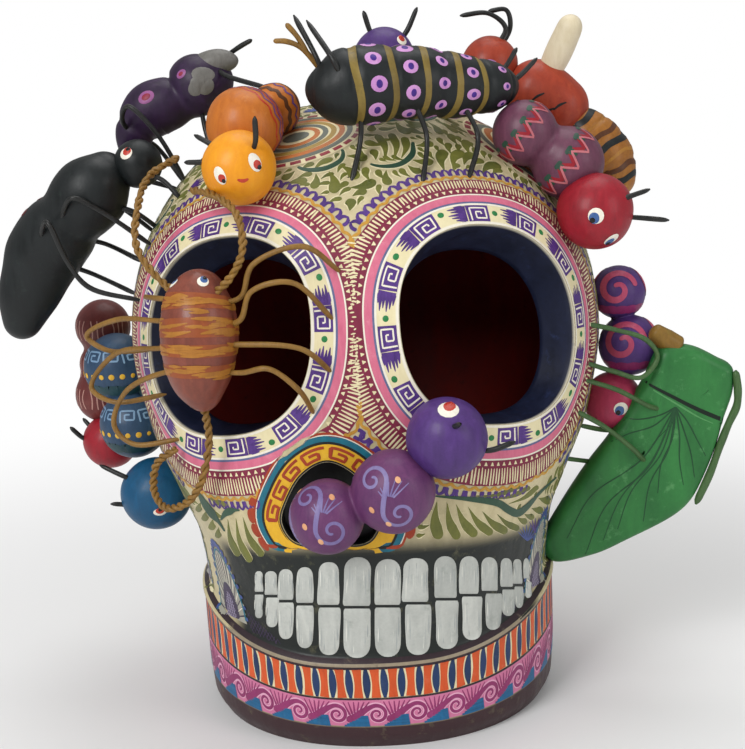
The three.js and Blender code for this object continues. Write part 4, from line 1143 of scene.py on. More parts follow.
def tooth(x, root, bite, width):
    """A tooth laid through the lens: its root is round, its bite square, and it swells a little."""
    down = np.array([0, 0.008, 0.03, 0.07, 0.12, 0.18, 0.25, 0.35, 0.5, 0.65, 0.8, 0.9, 0.96, 0.99, 1])
    shares = np.linspace(-1, 1, 11)
    rounded = (1 - (1 - np.minimum(down / 0.27, 1)) ** 2.3) ** (1 / 2.3)
    corner = (1 - np.clip((down - 0.93) / 0.07, 0, 1) ** 2 * 0.12) * (0.92 + 0.08 * down)
    lean = 0.03 * chance.standard_normal()
    half = width * 0.48 * np.maximum(rounded * corner, 0.03) + 0.3 * np.sin(7 * down + x)
    aside = shares[None] * half[:, None]
    along = root + (bite - root) * down[:, None] + 0 * aside
    flat = np.stack([x + aside + lean * width * down[:, None], along], -1)
    surface, normals = photo_mouth.at(flat)
    rise = np.clip(np.minimum(down * 5, (1 - down) * 14), 0, 1)[:, None]
    swell = 0.12 + 0.42 * np.sqrt(np.clip(1 - shares ** 4, 0, 1))[None] * rise
    teeth.lay(surface + normals * swell[..., None], normals, 0.6 + 0.2 * chance.standard_normal())
    for n in range(9):
        start, length = chance.uniform(0.1, 0.45), chance.uniform(0.25, 0.5)
        place = x + (n / 8 - 0.5) * 0.74 * width + chance.uniform(-0.4, 0.4)
        ends = [(place + chance.uniform(-0.5, 0.5), root + (bite - root) * share)
                for share in (start, start + length)]
        paint = streaks if n % 3 else lights
        paint.stroke(photo_mouth, ends, [0.3, 0.5 + width * 0.03, 0.9, 0.3], 9, smooth=False, step=2.0)


streak_grey = enamel("tooth streak", "aeb3b1", "979d9c", under="cfd1ca", scale=300, wear=0.5)
tooth_light = enamel("tooth light", "e2e3da", "d4d5cc", under="b9bab2", scale=300, wear=0.4)
streaks, lights = Paint("tooth_streaks", streak_grey), Paint("tooth_lights", tooth_light)
for n, width in enumerate(tooth_width_pixels):
    tooth(upper_x_pixels[n], upper_root_pixels[n], upper_bite_pixels[n] - bite_gap_pixels, width)
    tooth(lower_x_pixels[n], lower_root_pixels[n], upper_bite_pixels[n] + bite_gap_pixels, width)
finish("skull_paint", teeth, streaks, lights)


# The jaws: from the mouth round to the back stand tall arches like peacock feathers, five on each side,
# in a greyish cream painted darker grey as the shade on the jaw's sides, with thin radial lines, blue dabs
# along their tops and netting in their dark hearts.
# the arches' greyish cream, darkened to paint the shade that falls on the sides of the jaw
jaw_shade_grey = enamel("jaw shade grey", "b2b0a2", "8a897e", under="a8a698", scale=400, wear=0.3)
net_violet = enamel("net lilac", "a89eb4", "807690", under="1b201e", scale=800, wear=0.2)
dusk = enamel("dusk violet", "4a3c5a", "2c2238", under="6a6078", wear=0.2)
fans, nets, hearts, rays, dabs, arcs = paints(
    "jaw", fans=jaw_shade_grey, nets=net_violet, hearts=dusk, rays=line_white, dabs=tuft_blue, arcs=sea_teal)
for side in (-1, 1):
    for away, tall, wide in ((55, 31, 10.5), (79, 27, 10.5), (103, 27, 11), (128, 27, 11), (153, 27, 11)):
        azimuth = (mouth_middle + side * away + 180) % 360 - 180
        foot = float(lip_height(azimuth)) + 2.6
        chart = skull_sheet(azimuth, (foot + tall / 2) / widest_height, 26)
        low = chart.find(skull_point(azimuth, foot / widest_height))[1]

        def arc(share, turn):
            return np.array([wide * share * math.cos(turn), low + tall * share * math.sin(turn)])
        half = np.linspace(0.02, math.pi - 0.02, 30)
        for turn in np.linspace(0.03, math.pi - 0.03, 24):
            fans.stroke(chart, [arc(0.4, turn), arc(0.97, turn)], [1.2, 3.2], 2, square=True, smooth=False,
                        step=2)
        for share in (0.08, 0.18, 0.28, 0.38, 0.44):
            hearts.stroke(chart, [arc(share, turn) for turn in half[::2]], 3.0, 3)
        for k, turn in enumerate(np.linspace(0.1, math.pi - 0.1, 25)):
            paint = rays if k % 2 else hearts
            paint.stroke(chart, [arc(0.56, turn), arc(0.9, turn)], [0.25, 0.5, 0.4], 4, smooth=False, step=2)
        arcs.stroke(chart, [arc(0.95, turn) for turn in half], 0.9, 4)
        for turn in np.linspace(0.05, math.pi - 0.05, 21):
            dabs.stroke(chart, [arc(0.99, turn), arc(1.11, turn)], [1.7, 1.9], 4)
        for slope in (-1, 1):
            for start in np.arange(-14, 15, 1.5):
                line = np.array([(start + slope * run * 0.6, low + run)
                                 for run in np.linspace(0, tall * 0.5, 24)])
                within = ((line[:, 0] / wide) ** 2 + ((line[:, 1] - low) / tall) ** 2) < 0.36 ** 2
                for first, last in stretches(within):
                    if last - first > 3:
                        nets.stroke(chart, line[[first, last - 1]], 0.42, 5, smooth=False, step=2)
    corner = skull_sheet(mouth_middle + side * 40, 0.36, 26)
    for start in np.arange(-30, 30, 1.7):
        for slope in (-1, 1):
            line = np.stack([start + slope * np.linspace(-9, 9, 40), np.linspace(-16, 12, 40)], -1)
            here = corner.at(line)[0]
            turn = np.degrees(np.arctan2(here[:, 0], -here[:, 1]))
            above, away = here[:, 2] - lip_height(turn), (turn - mouth_middle) * side
            for first, last in stretches((above > 2.6) & (above < 3 + (away - 31) * 0.6) & (away < 46)):
                if last - first > 3:
                    hearts.stroke(corner, line[[first, last - 1]], [0.25, 0.4, 0.25], 1, smooth=False,
                                  step=1.5)
finish("skull_paint", fans, nets, hearts, rays, dabs, arcs)


# The base: under the lip's cream bead runs a band of orange and navy bars, a dark line, then a pink
# band of breaking waves with blue triangles in their troughs; the foot below stays dark maroon.
bar_orange = enamel("bar orange", "e0602e", "c04a1e", under="f0b090", wear=0.15)
bar_navy = enamel("bar navy", "26406e", "182a4c", under="7084a8", wear=0.15)
wave_pink = enamel("wave pink", "d880a4", "c06a90", under="ecc0d0", wear=0.2)
wave_light = enamel("wave light", "eab4cc", "d896b4", under="c06a90", wear=0.15)
wave_magenta = enamel("wave magenta", "9c3a72", "7c2656", under="c880a8", wear=0.2)
trough_blue = enamel("trough blue", "1f6c9c", "145078", under="6aa4c4", wear=0.15)
beads_cream = enamel("lip cream", "9c8f78", "75695a", under="4a4038", wear=0.5)
dark_line = enamel("dark line", "3a2a30", "221a1e", scale=800, wear=0.2)
azimuth_row = np.linspace(-200, 200, 801)
wrapped_row = (azimuth_row + 180) % 360 - 180
heights = np.linspace(0, lip_front + 4, 34)
levels_row = heights[None] * (lip_height(wrapped_row) / lip_front)[:, None] / widest_height
grid = skull_point(wrapped_row[:, None], levels_row)
girdle_run = lengths_along(grid[:, 14])
girdle = Chart(girdle_run, heights, grid, skull_normal(wrapped_row[:, None], levels_row))
start = np.interp(-180, azimuth_row, girdle_run)
turn_length = np.interp(180, azimuth_row, girdle_run) - start
end = start + turn_length
base_paints = (("bar_grounds", cream), ("bars_orange", bar_orange), ("bars_navy", bar_navy),
               ("lip_bead", beads_cream), ("wave_grounds", wave_pink), ("waves", wave_magenta),
               ("wave_troughs", trough_blue), ("base_lines", dark_line), ("wave_edges", wave_light))
grounds, oranges, navies, lips, pinks, magentas, blues, darks, lights = (Paint(*each) for each in base_paints)
for paint, low, high, layer in ((grounds, 22.4, 35.0, 0), (darks, 21.5, 22.3, 2), (pinks, 10.4, 21.6, 0),
                                (darks, 34.6, 35.9, 1), (lips, 35.9, 37.0, 2), (darks, 37.0, 38.6, 1)):
    path = [(start, (low + high) / 2), (end, (low + high) / 2)]
    paint.stroke(girdle, path, high - low, layer, square=True, step=1.4, across=3 + 2 * int((high - low) / 2))
bars = int(turn_length / 6.6)
bar_heights = (22.5, 28.6, 34.8)
for n in range(bars):
    at = start + (n + 0.5) * turn_length / bars
    sway = chance.uniform(-0.25, 0.25, 3)
    path = np.stack([at + sway, bar_heights], -1)
    oranges.stroke(girdle, path, [3.7, 3.0, 2.7, 3.0, 3.6], 2, square=True, across=5)
    at += turn_length / bars / 2
    path = np.stack([at + sway, bar_heights], -1)
    navies.stroke(girdle, path, [1.1, 2.6, 3.0, 2.5, 1.2], 3, square=True, across=5)
waves = int(turn_length / 15.5)
pitch = turn_length / waves
for n in range(waves):
    at = start + (n + 0.5) * pitch
    curl = spiral(1.55, 3.9, 0, 1, 24, 0.12)[::-1]
    first = math.atan2(curl[0, 1], curl[0, 0])
    curl = placed(curl, (at, 15.3), math.radians(105) - first, 1, 1)
    rise = [(at - pitch + 3.6, 12.9), (at - pitch + 7.0, 14.2), (at - pitch + 10.6, 17.0)]
    swell = np.vstack([rise, curl])
    lights.stroke(girdle, swell, [4.6, 4.2, 2.9, 2.4, 2.1, 1.9, 1.6], 1, across=5, step=0.6)
    magentas.stroke(girdle, swell, [3.2, 3.0, 1.8, 1.4, 1.25, 1.1, 0.8], 3, across=5, step=0.6)
    for k in range(6):
        foot_at = at - pitch + 5.2 + 0.9 * k
        flame = [(foot_at, 15.0 + 0.35 * k), (foot_at - 2.6 + 1.15 * k, 20.8)]
        magentas.stroke(girdle, flame, [0.9, 0.35], 2)
    for share in np.linspace(0, 1, 8)[:-1]:
        low, high = at - pitch + 2.6 + 7.2 * share, at - pitch + 12.6 - 0.6 * share
        up = 10.6 + 4.6 * share
        blues.stroke(girdle, [(low, up), (high, up)], 0.8, 3, smooth=False, square=True)
finish("skull_paint", grounds, oranges, navies, lips, pinks, magentas, blues, darks, lights)


# The grub astride the nose: two mauve balls and a violet head of rolled clay. Like all the insects it
# is modelled apart, enamelled and baked on; its feelers are one painted iron wire through the head.
reach, wire_radius, cord_radius = 20.0, 1.0, 1.6


def sweep(path, radii, sides):
    """Rings round a path, each square to it, that don't twist along it."""
    tangents = unit(np.gradient(path, axis=0))
    aside = unit(np.cross(tangents[0], (0, 0, 1.0)))
    angle = np.linspace(0, 2 * math.pi, sides, endpoint=False)[:, None]
    rings = []
    for centre, ahead, radius in zip(path, tangents, radii):
        aside = unit(aside - ahead * (aside @ ahead))
        rings.append(centre + radius * (np.cos(angle) * aside + np.sin(angle) * np.cross(ahead, aside)))
    return np.array(rings)


def wire_runs(name, runs, radius, material, slot, sides=10):
    """Painted wire: round, slightly uneven, with rounded ends; one node of the solid model."""
    points, faces, count = [], [], 0
    for run in runs:
        line = curve_through(run, len(run) * 8)
        radii = radius * (1 + 0.05 * np.sin(np.arange(len(line)) / 2.1 + line[0, 0]))
        radii[[0, -1]] *= 0.3
        radii[[1, -2]] *= 0.85
        rings = sweep(line, radii, sides).transpose(1, 0, 2)
        points.append(rings.reshape(-1, 3))
        faces.append(grid_faces(sides, len(line), closed=True, first=count))
        count += len(points[-1])
    points = np.vstack(points)
    tones = 0.5 + 0.3 * np.sin(points[:, 2] / 3.1) * np.cos(points[:, 0] / 2.7)
    return dress(make_mesh(name, points, np.vstack(faces), {"tone": tones}), material, slot, name)


def route(places):
    """Points over the skull from places: azimuth, level and lift as a share of the insects' reach."""
    places = np.asarray(places, float)
    return off(places[:, 0], places[:, 1], places[:, 2] * reach)


class Body(Skin):
    """A clay body turned round a bent axis, which carries its own brushwork."""

    def __init__(self, name, path, radii, material, slot, sides=56):
        rings = sweep(path, radii, sides)
        uneven = 1 + 0.01 * np.sin(rings[..., 0] / 5.3 + rings[..., 2] / 4.1)
        uneven = uneven + 0.006 * np.sin(rings[..., 1] / 2.9)
        rings = path[:, None] + (rings - path[:, None]) * uneven[..., None]
        closed = rings.transpose(1, 0, 2)
        points, faces = closed.reshape(-1, 3), grid_faces(sides, len(path), closed=True)
        super().__init__(points, faces)
        self.path = path
        run = lengths_along(path)
        self.girth = 2 * math.pi * float(np.mean(radii[radii > radii.max() / 2]))
        wrap = np.arange(-sides // 4, sides + sides // 4)
        self.round = Chart(run, wrap * self.girth / sides, rings[:, wrap % sides],
                           rings[:, wrap % sides] - path[:, None])
        tones = 0.5 + 0.22 * np.sin(points[:, 0] / 6) * np.cos(points[:, 2] / 5)
        self.piece = dress(make_mesh(name, points, faces, {"tone": tones}), material, slot, name)

    def spot(self, x, y, size, turn=0.0):
        """A patch about the point seen at a pixel, wrapped round the body's axis."""
        place = self.seen(x, y)
        centre = self.path[((self.path - place) ** 2).sum(-1).argmin()]
        return self.cap(place, centre, np.linalg.norm(place - centre), size, turn)

    def ball_spot(self, ball, heading, tilt, size, turn=0.0):
        """A patch on the side of one of its balls that faces a heading and a tilt."""
        centre, radius = self.centres[ball], self.radii[ball]
        return self.cap(centre + radius * facing(heading, tilt), centre, radius, size, turn)

    def way_seen(self, ball, x, y):
        """The heading and tilt at which the middle of a ball faces the point seen at a pixel."""
        way = unit(self.seen(x, y) - self.centres[ball])
        return math.degrees(math.atan2(way[0], -way[1])), math.degrees(math.asin(way[2]))


lone_ball_axis = (0.25, 0.1, 1.0)
sunk = 1


def beads(name, parts, material, slot, neck=5):
    """A grub's body or head: balls pressed together in a row, from azimuth, level, radius, clearance."""
    radii = np.array([part[2] for part in parts]) * reach
    lifts = radii - sunk + np.array([part[3] if len(part) > 3 else 0 for part in parts]) * reach
    centres = np.array([off(part[0], part[1], lift) for part, lift in zip(parts, lifts)])
    many = len(centres) > 1
    line = np.linspace(centres[0], centres[-1], 60 if many else 1)
    if len(centres) > 2:
        line = curve_through(centres, 60)
    back = unit(centres[1] - centres[0]) if many else unit(lone_ball_axis)
    front = unit(centres[-1] - centres[-2]) if many else unit(lone_ball_axis)
    lead = np.cos(np.linspace(0.03, math.pi / 2, 26, endpoint=False))[:, None]
    path = np.vstack([line[0] - back * lead * radii[0], line, (line[-1] + front * lead * radii[-1])[::-1]])
    run = lengths_along(path)
    stops = [run[((path - centre) ** 2).sum(-1).argmin()] for centre in centres]
    power = sum(np.maximum(radius ** 2 - (run - stop) ** 2, 0) ** (neck / 2)
                for radius, stop in zip(radii, stops))
    body = Body(name, path, np.maximum(power ** (1 / neck), 0.05), material, slot)
    body.centres, body.radii = centres, radii
    return body


def long_body(name, stations, material, slot, waists=(), softness=3.0, steps=120, caps=16, beyond=8):
    """A body that swells along a bent axis; each waist is its share of the length, depth and width."""
    stations = np.asarray(stations, float)
    centres, radii = route(stations[:, :3]), stations[:, 3] * reach
    line = curve_through(centres, steps)
    swell = curve_through(np.stack([np.arange(len(radii)), radii], -1), steps, power=0)[:, 1]
    turn = np.linspace(0.05, math.pi / 2, caps, endpoint=False)
    lead, close = np.cos(turn)[:, None] * 0.6, np.sin(turn)
    back, front = unit(line[1] - line[0]), unit(line[-1] - line[-2])
    path = np.vstack([line[0] - back * lead * swell[0], line, (line[-1] + front * lead * swell[-1])[::-1]])
    radii = np.concatenate([swell[0] * close, swell, (swell[-1] * close)[::-1]])
    run = lengths_along(path)
    inside = np.linspace(-beyond, run[-1] + beyond, 400)
    near = np.exp(-((run[:, None] - inside) / softness) ** 2)
    folded = np.interp(np.where(inside > run[-1], 2 * run[-1] - inside, np.abs(inside)), run, radii ** 2)
    folded *= np.where((inside < 0) | (inside > run[-1]), -1, 1)
    radii = np.sqrt(np.maximum((near * folded).sum(1) / near.sum(1), radii[0] ** 2 * 0.5))
    share = np.clip(np.arange(-caps, steps + caps) / (steps - 1), 0, 1)
    for at, depth, width in waists:
        radii = radii * (1 - depth * np.exp(-((share - at) / width) ** 2))
    return Body(name, path, radii, material, slot, 64)


# the eyes of each insect: pixels of the middle, half width, height share, turn and the way it looks
eye_pixels = {
    "nose_grub": [(449, 408, 3.6, 0.6, -0.2, 1.6)],
    "socket_bug": [(174, 283, 1.9, 0.85, 0.5, 1.2), (203, 281, 2.1, 0.85, 0, 0.9)],
    "ant": [(126, 153, 2.6, 0.9, 0, 1.2)],
    "yellow_grub": [(220, 176, 2.2, 1.5, 0.4, -1.3), (255, 162, 2.3, 1.5, 0.35, -1.3)],
    "crown_grub": [(402, 40, 2.4, 0.7, 0, 1.5)],
    "wasp": [(473, 60, 1.7, 0.8, 0, 1.2)],
    "red_grub": [(596, 216, 3.0, 1, 0, -2.3), (611, 240, 2.6, 0.8, 0.5, -2.3)],
    "scroll_grub": [(621, 409, 3.0, 0.9, 0, -2.3)],
    "blue_grub": [(160, 512, 2.8, 0.6, 0, 1.5)]}


def eyes(body, name, slot, iris, pupil=None):
    """An insect's eyes: a white, a coloured ring and a pupil that lie toward the way it looks."""
    whites, rings = Paint(name + "_eye_whites", eye_white), Paint(name + "_eye_rings", iris)
    pupils = Paint(name + "_pupils", pupil or eye_black)
    for x, y, size, tall, turn, look in eye_pixels[name]:
        chart = body.spot(x, y, size * max(2, 2 * tall), turn)
        look = size * np.array([math.cos(look), math.sin(look)])
        whites.dot(chart, (0, 0), (size, size * tall), 2, 0.8)
        rings.dot(chart, look * 0.3 * tall, (size * 0.68, size * min(0.74, 0.8 * tall)), 4, 0.6)
        pupils.dot(chart, look * 0.66 * tall, size * 0.36 * min(1, 1.3 * tall), 7, 0.3)
    finish(slot, whites, rings, pupils)


iron_black = enamel("black iron", "2b2c2b", "0d0e0e", under="5a5148", scale=900, wear=0.3, rough=0.4)
eye_white = enamel("eye white", "f2ede0", "ddd6c4", scale=900, wear=0.1, rough=0.3, coat=0.12)
eye_red = enamel("eye red", "c8402c", "9c2a1e", scale=900, wear=0.1, rough=0.3, coat=0.12)
eye_black = enamel("eye black", "1a1a1c", "0a0a0b", scale=900, wear=0.0, rough=0.25, coat=0.12)
mauve = enamel("mauve", "74406c", "482250", under="8a5c80", scale=420, wear=0.2, coat=0.12)
lilac = enamel("lilac", "8a80ac", "66568e", under="74406c", scale=800, wear=0.1)
peach = enamel("peach", "e8b58c", "cf8f66", scale=800, wear=0.1)
violet = enamel("violet", "5a3a82", "3a2258", under="74589a", scale=420, wear=0.2, coat=0.12)


def wires(name, *routes, metal=iron_black, slot="black_wire"):
    """A node of painted wires by their routes over the skull."""
    wire_runs(name, [route(places) for places in routes], wire_radius, metal, slot)


nose_body = beads("nose_grub_body", [(-8.5, 0.675, 0.675), (7.5, 0.73, 0.75)], mauve, "mauve_paint")
nose_head = beads("nose_grub_head", [(18.5, 0.852, 0.725)], violet, "violet_paint")
wires("nose_grub_feelers", [(19, 0.92, 1.5), (18, 0.885, 1), (20, 0.855, 0.65), (25, 0.815, 1),
                            (30, 0.835, 1.2)])
scrolls, dots = paints("nose_grub", scrolls=lilac, dots=peach)
first = math.radians(78)
upper_scroll = spiral(1.3, 5.6, first, -1, 24) + (-1.5, 8.0)
lower_scroll = spiral(1.3, 6.2, first + math.pi, -1, 24)[::-1] + (1.5, -8.0)
double = np.vstack([upper_scroll, lower_scroll])
nose_ball_pixels = ((318, 514), (385, 498))
for ball, pixel in enumerate(nose_ball_pixels):
    heading, tilt = nose_body.way_seen(ball, *pixel)
    for aside in (-110, 0):
        chart = nose_body.ball_spot(ball, heading + aside, tilt, 16, 0.5)
        scrolls.stroke(chart, double, [1.0, 1.5, 1.8, 1.5, 1.0], 1)
        for k in range(7):
            way = np.array([math.cos(0.25 + 0.26 * k), math.sin(0.25 + 0.26 * k)])
            root = np.array([1.6 - 0.3 * k, -1.6 + 0.2 * k])
            scrolls.stroke(chart, [root + way, root + way * (8.6 - 0.8 * k)], [0.7, 0.3], 1, smooth=False)
        for along, up in ((7.0, 3.4), (-6.8, -1.6), (-4.6, -9.4)):
            dots.dot(chart, (along, up), (1.0, 1.3), 2)
finish("mauve_paint", scrolls, dots)
eyes(nose_head, "nose_grub", "violet_paint", eye_red, pupil=eye_red)


# The bug over the left socket: a copper-brown barrel with soft rusty bands under fine ochre streaks,
# held in the opening by four ochre wires that run through it as legs; its feelers and its looped tail
# are two twisted strands.
ochre_iron = enamel("ochre iron", "9c7434", "64481e", under="3d2f1c", scale=900, wear=0.35)
copper = enamel("copper brown", "904a38", "5a281c", under="a2603c", scale=380, wear=0.2, coat=0.35)
ochre = enamel("ochre stripe", "b07c2c", "8a5620", under="904a38", scale=800, wear=0.15)
eye_blue = enamel("eye blue", "4a6fa8", "2f4a7c", scale=900, wear=0.1, rough=0.3, coat=0.12)


def twisted(run, radius, turns):
    """Two thin strands twisted round one another, which together are as thick as one cord."""
    line = curve_through(run, len(run) * 12)
    strand = radius * 0.52
    rings = sweep(line, np.full(len(line), strand), 2 * len(line))
    angle = (np.linspace(0, turns, len(line)) % 1 * 2 * len(line)).astype(int)
    order = np.arange(len(line))
    return [rings[order, angle][::2], rings[order, (angle + len(line)) % (2 * len(line))][::2]], strand


bug = long_body("socket_bug_body", [(-33.5, 1.21, 0.7, 0.425), (-33.5, 1.17, 0.7, 0.625),
                                    (-33, 1.09, 0.7, 0.69), (-33, 1, 0.7, 0.55), (-33, 0.95, 0.65, 0.27)],
                copper, "copper_paint")
for n, places in enumerate((
        [(-56, 1.17, -0.05), (-53, 1.17, 0.4), (-45, 1.17, 0.6), (-34, 1.17, 0.6), (-24, 1.18, 0.7),
         (-21, 1.25, 0.85), (-11, 1.29, 0.8), (-3, 1.25, -0.05)],
        [(-59, 1.03, -0.05), (-63, 1.03, 0.7), (-65, 1.06, 1.05), (-56, 1.11, 0.8), (-45, 1.12, 0.6),
         (-34, 1.12, 0.55), (-24, 1.13, 0.7), (-21, 1.19, 0.85), (-13, 1.21, 0.8), (-5, 1.13, -0.05)],
        [(-54, 0.92, -0.05), (-60, 0.92, 0.8), (-65, 0.95, 1.05), (-58, 1.03, 0.75), (-44, 1.06, 0.6),
         (-34, 1.07, 0.6), (-24, 1.08, 0.65), (-12, 1.07, 0.55), (-6, 1, -0.05)],
        [(-50, 0.81, -0.05), (-57, 0.81, 0.7), (-60, 0.86, 0.9), (-55, 0.95, 0.75), (-42, 1.01, 0.6),
         (-33, 1.02, 0.6), (-24, 1.02, 0.65), (-18, 1.03, 0.7), (-13, 0.98, 0.5), (-11, 0.9, -0.05)])):
    wires(f"socket_bug_legs_{n + 1}", places, metal=ochre_iron, slot="ochre_wire")
bug_feeler = route([
    (-54, 1.5, 0.75), (-56, 1.43, 0.95), (-53, 1.36, 1), (-48, 1.27, 1.05), (-41, 1.2, 0.85),
    (-34, 1.17, 0.85), (-27, 1.2, 0.9), (-23, 1.27, 0.95), (-25, 1.35, 0.9), (-33, 1.4, 0.75),
    (-45, 1.43, 0.55)])
strands, strand = twisted(bug_feeler, cord_radius, 24)
wire_runs("socket_bug_feelers", strands, strand, ochre_iron, "ochre_wire", 8)
bug_tail = route([
    (-33, 0.98, 0.65), (-33.5, 0.93, 0.6), (-34, 0.85, 0.5), (-37, 0.74, 0.4), (-41, 0.69, 0.5),
    (-46, 0.68, 0.7), (-51, 0.71, 0.65), (-52, 0.76, 0.45), (-47, 0.8, 0.2)])
strands, strand = twisted(bug_tail, cord_radius, 15)
wire_runs("socket_bug_tail", strands, strand, ochre_iron, "ochre_wire", 8)
soft_rust = enamel("soft rust", "a5572c", "7c3c1e", under="b8742c", scale=300, wear=0.5)
warm_ochre = enamel("warm ochre", "b4792c", "8f5a20", under="a5572c", wear=0.3)
stripes = Paint("socket_bug_stripes", warm_ochre)
length = bug.round.across[-1]
bands = Paint("socket_bug_bands", soft_rust)
for share, thick in ((0.24, 4.4), (0.41, 4.8), (0.55, 3.2), (0.68, 3.0)):
    path = [(share * length, part * bug.girth) for part in np.linspace(0, 1, 15)]
    bands.stroke(bug.round, path, thick * 1.25, 1, 0.35)
    for n in range(60):
        along = share * length + thick * 0.32 * chance.standard_normal()
        start, run = chance.uniform(0, bug.girth), chance.uniform(5, 11)
        path = [(along + chance.uniform(-0.4, 0.4), start + part * run) for part in (0, 0.5, 1)]
        stripes.stroke(bug.round, path, [0.4, 1.2, 0.4], 2 + n % 3)
finish("copper_paint", bands, stripes)
eyes(bug, "socket_bug", "copper_paint", eye_blue)


# The ant on the left temple: a chain of smooth black lobes, their greenish sheen painted into the black's
# colour, hanging from thin black legs, with dull red spots on its tail.
# a nearly matt black whose greenish cast paints a sheen; the beetle and the wasp's bands share it
black_painted_sheen = enamel("black with painted sheen", "1f2425", "0b0e0f", under="34403a", scale=300, wear=0.3, rough=0.46,
                     coat=0.03)
dull_red = enamel("dull red", "6c2c2e", "48201f", under="2a1a16", scale=700, wear=0.2)
ant = long_body("ant_body", [(-76, 1.42, 1.25, 0.45), (-76, 1.37, 1.35, 0.725), (-80, 1.28, 1.6, 0.725),
                             (-84, 1.2, 1.9, 0.775), (-85, 1.1, 2.15, 0.6), (-85, 1.04, 2.3, 0.35)],
                black_painted_sheen, "black_paint", waists=[(0.38, 0.08, 0.05), (0.7, 0.03, 0.05)])
ant_head = beads("ant_head", [(-73, 1.46, 0.475, 0.5)], black_painted_sheen, "black_paint")
for n, places in enumerate((
        [(-65, 1.45, -0.05), (-69, 1.46, 0.5), (-72, 1.42, 1), (-78, 1.39, 1.05), (-88, 1.42, 0.8),
         (-90, 1.46, -0.05)],
        [(-74, 1.35, -0.05), (-72, 1.36, 0.5), (-74, 1.35, 0.9), (-80, 1.33, 1.15), (-90, 1.34, 0.9),
         (-92, 1.31, -0.05)],
        [(-70, 1.3, -0.05), (-69, 1.33, 1.2), (-69, 1.33, 1.75), (-73, 1.29, 1.75), (-81, 1.25, 1.5),
         (-85, 1.25, 0.8), (-80, 1.24, -0.05)],
        [(-67, 1.15, -0.05), (-71, 1.16, 0.95), (-72, 1.2, 1.4), (-72, 1.27, 2), (-76, 1.24, 2),
         (-84, 1.19, 1.7), (-86, 1.17, 0.9), (-78, 1.15, -0.05)])):
    wires(f"ant_legs_{n + 1}", places)
spots = Paint("ant_spots", dull_red)
ant_spot_pixels = ((24, 212, 2.6), (34, 189, 1.9), (52, 158, 1.5))
for x, y, size in ant_spot_pixels:
    spots.dot(ant.spot(x, y, 5), (0, 0), (size, size * 0.75), 1, turn=0.6)
finish("black_paint", spots)
eyes(ant_head, "ant", "black_paint", eye_red)


# The moth above it: dark violet lobes with a grey patch and two dusky red ovals rimmed in dusty pink,
# and a grey snout with white specks; its legs and feelers are black wires.
night_violet = enamel("night violet", "3a2248", "19121f", under="5c4464", scale=200, wear=0.4, rough=0.48,
                      coat=0.04)
moth_grey = enamel("moth grey", "7d7b76", "55534f", under="2a2430", scale=700, wear=0.2)
dusty_pink = enamel("dusty pink", "a8649a", "7c4478", under="5c4464", wear=0.4)
dusky_red = enamel("dusky red", "9c2c44", "741c30", under="a8649a", wear=0.3)
moth = long_body("moth_body", [(-90, 1.46, 1.25, 0.2), (-90, 1.5, 1.35, 0.4), (-90, 1.56, 1.4, 0.575),
                               (-89, 1.63, 1.2, 0.525), (-89, 1.68, 1.2, 0.65), (-88, 1.73, 1.1, 0.4)],
                 night_violet, "dark_violet_paint", waists=[(0.24, 0.1, 0.03), (0.6, 0.12, 0.04)])
snout = long_body("moth_snout", [(-88, 1.7, 1.45, 0.3), (-86, 1.74, 1.4, 0.275), (-85, 1.77, 1.3, 0.17)],
                  moth_grey, "grey_paint")
wires("moth_legs_1", [(-76, 1.5, -0.05), (-76, 1.54, 1), (-78, 1.54, 1.75), (-83, 1.51, 1.65),
                      (-90, 1.5, 1.25), (-98, 1.5, 0.9), (-98, 1.47, -0.05)])
wires("moth_legs_2", [(-80, 1.61, -0.05), (-83, 1.64, 0.5), (-89, 1.66, 0.85), (-97, 1.66, 0.7),
                      (-100, 1.68, -0.05)])
wires("moth_feelers", [(-82, 1.82, 1.55), (-86, 1.79, 1.5), (-90, 1.745, 1.4), (-80, 1.735, 1.2),
                       (-50, 1.78, 0.65)])
halo, oval, specks, patch = paints("moth", halo=dusty_pink, oval=dusky_red, specks=eye_white, patch=moth_grey)
moth_patch_pixels = ((205, 74), (200, 82), (196, 88), (207, 86))
moth_oval_pixels = ((146, 97, 3.4), (181, 74, 2.2))
snout_pixel = (215, 75)
for n, pixel in enumerate(moth_patch_pixels):
    patch.dot(moth.spot(*pixel, 7, 0.4 * n), (0, 0), (4.2 - 0.3 * n, 3.0), 1 + n % 2)
finish("dark_violet_paint", patch)
for x, y, size in moth_oval_pixels:
    chart = moth.spot(x, y, 7, 0.5)
    halo.dot(chart, (0, 0), (size, size * 0.8), 1)
    oval.dot(chart, (0, 0), (size * 0.6, size * 0.45), 3)
chart = snout.spot(*snout_pixel, 6)
for n in range(14):
    specks.dot(chart, spiral(3, 4.2)[n + 6] * (1.2, 0.8), 0.32, 2)
finish("dark_violet_paint", halo, oval)
finish("grey_paint", specks)


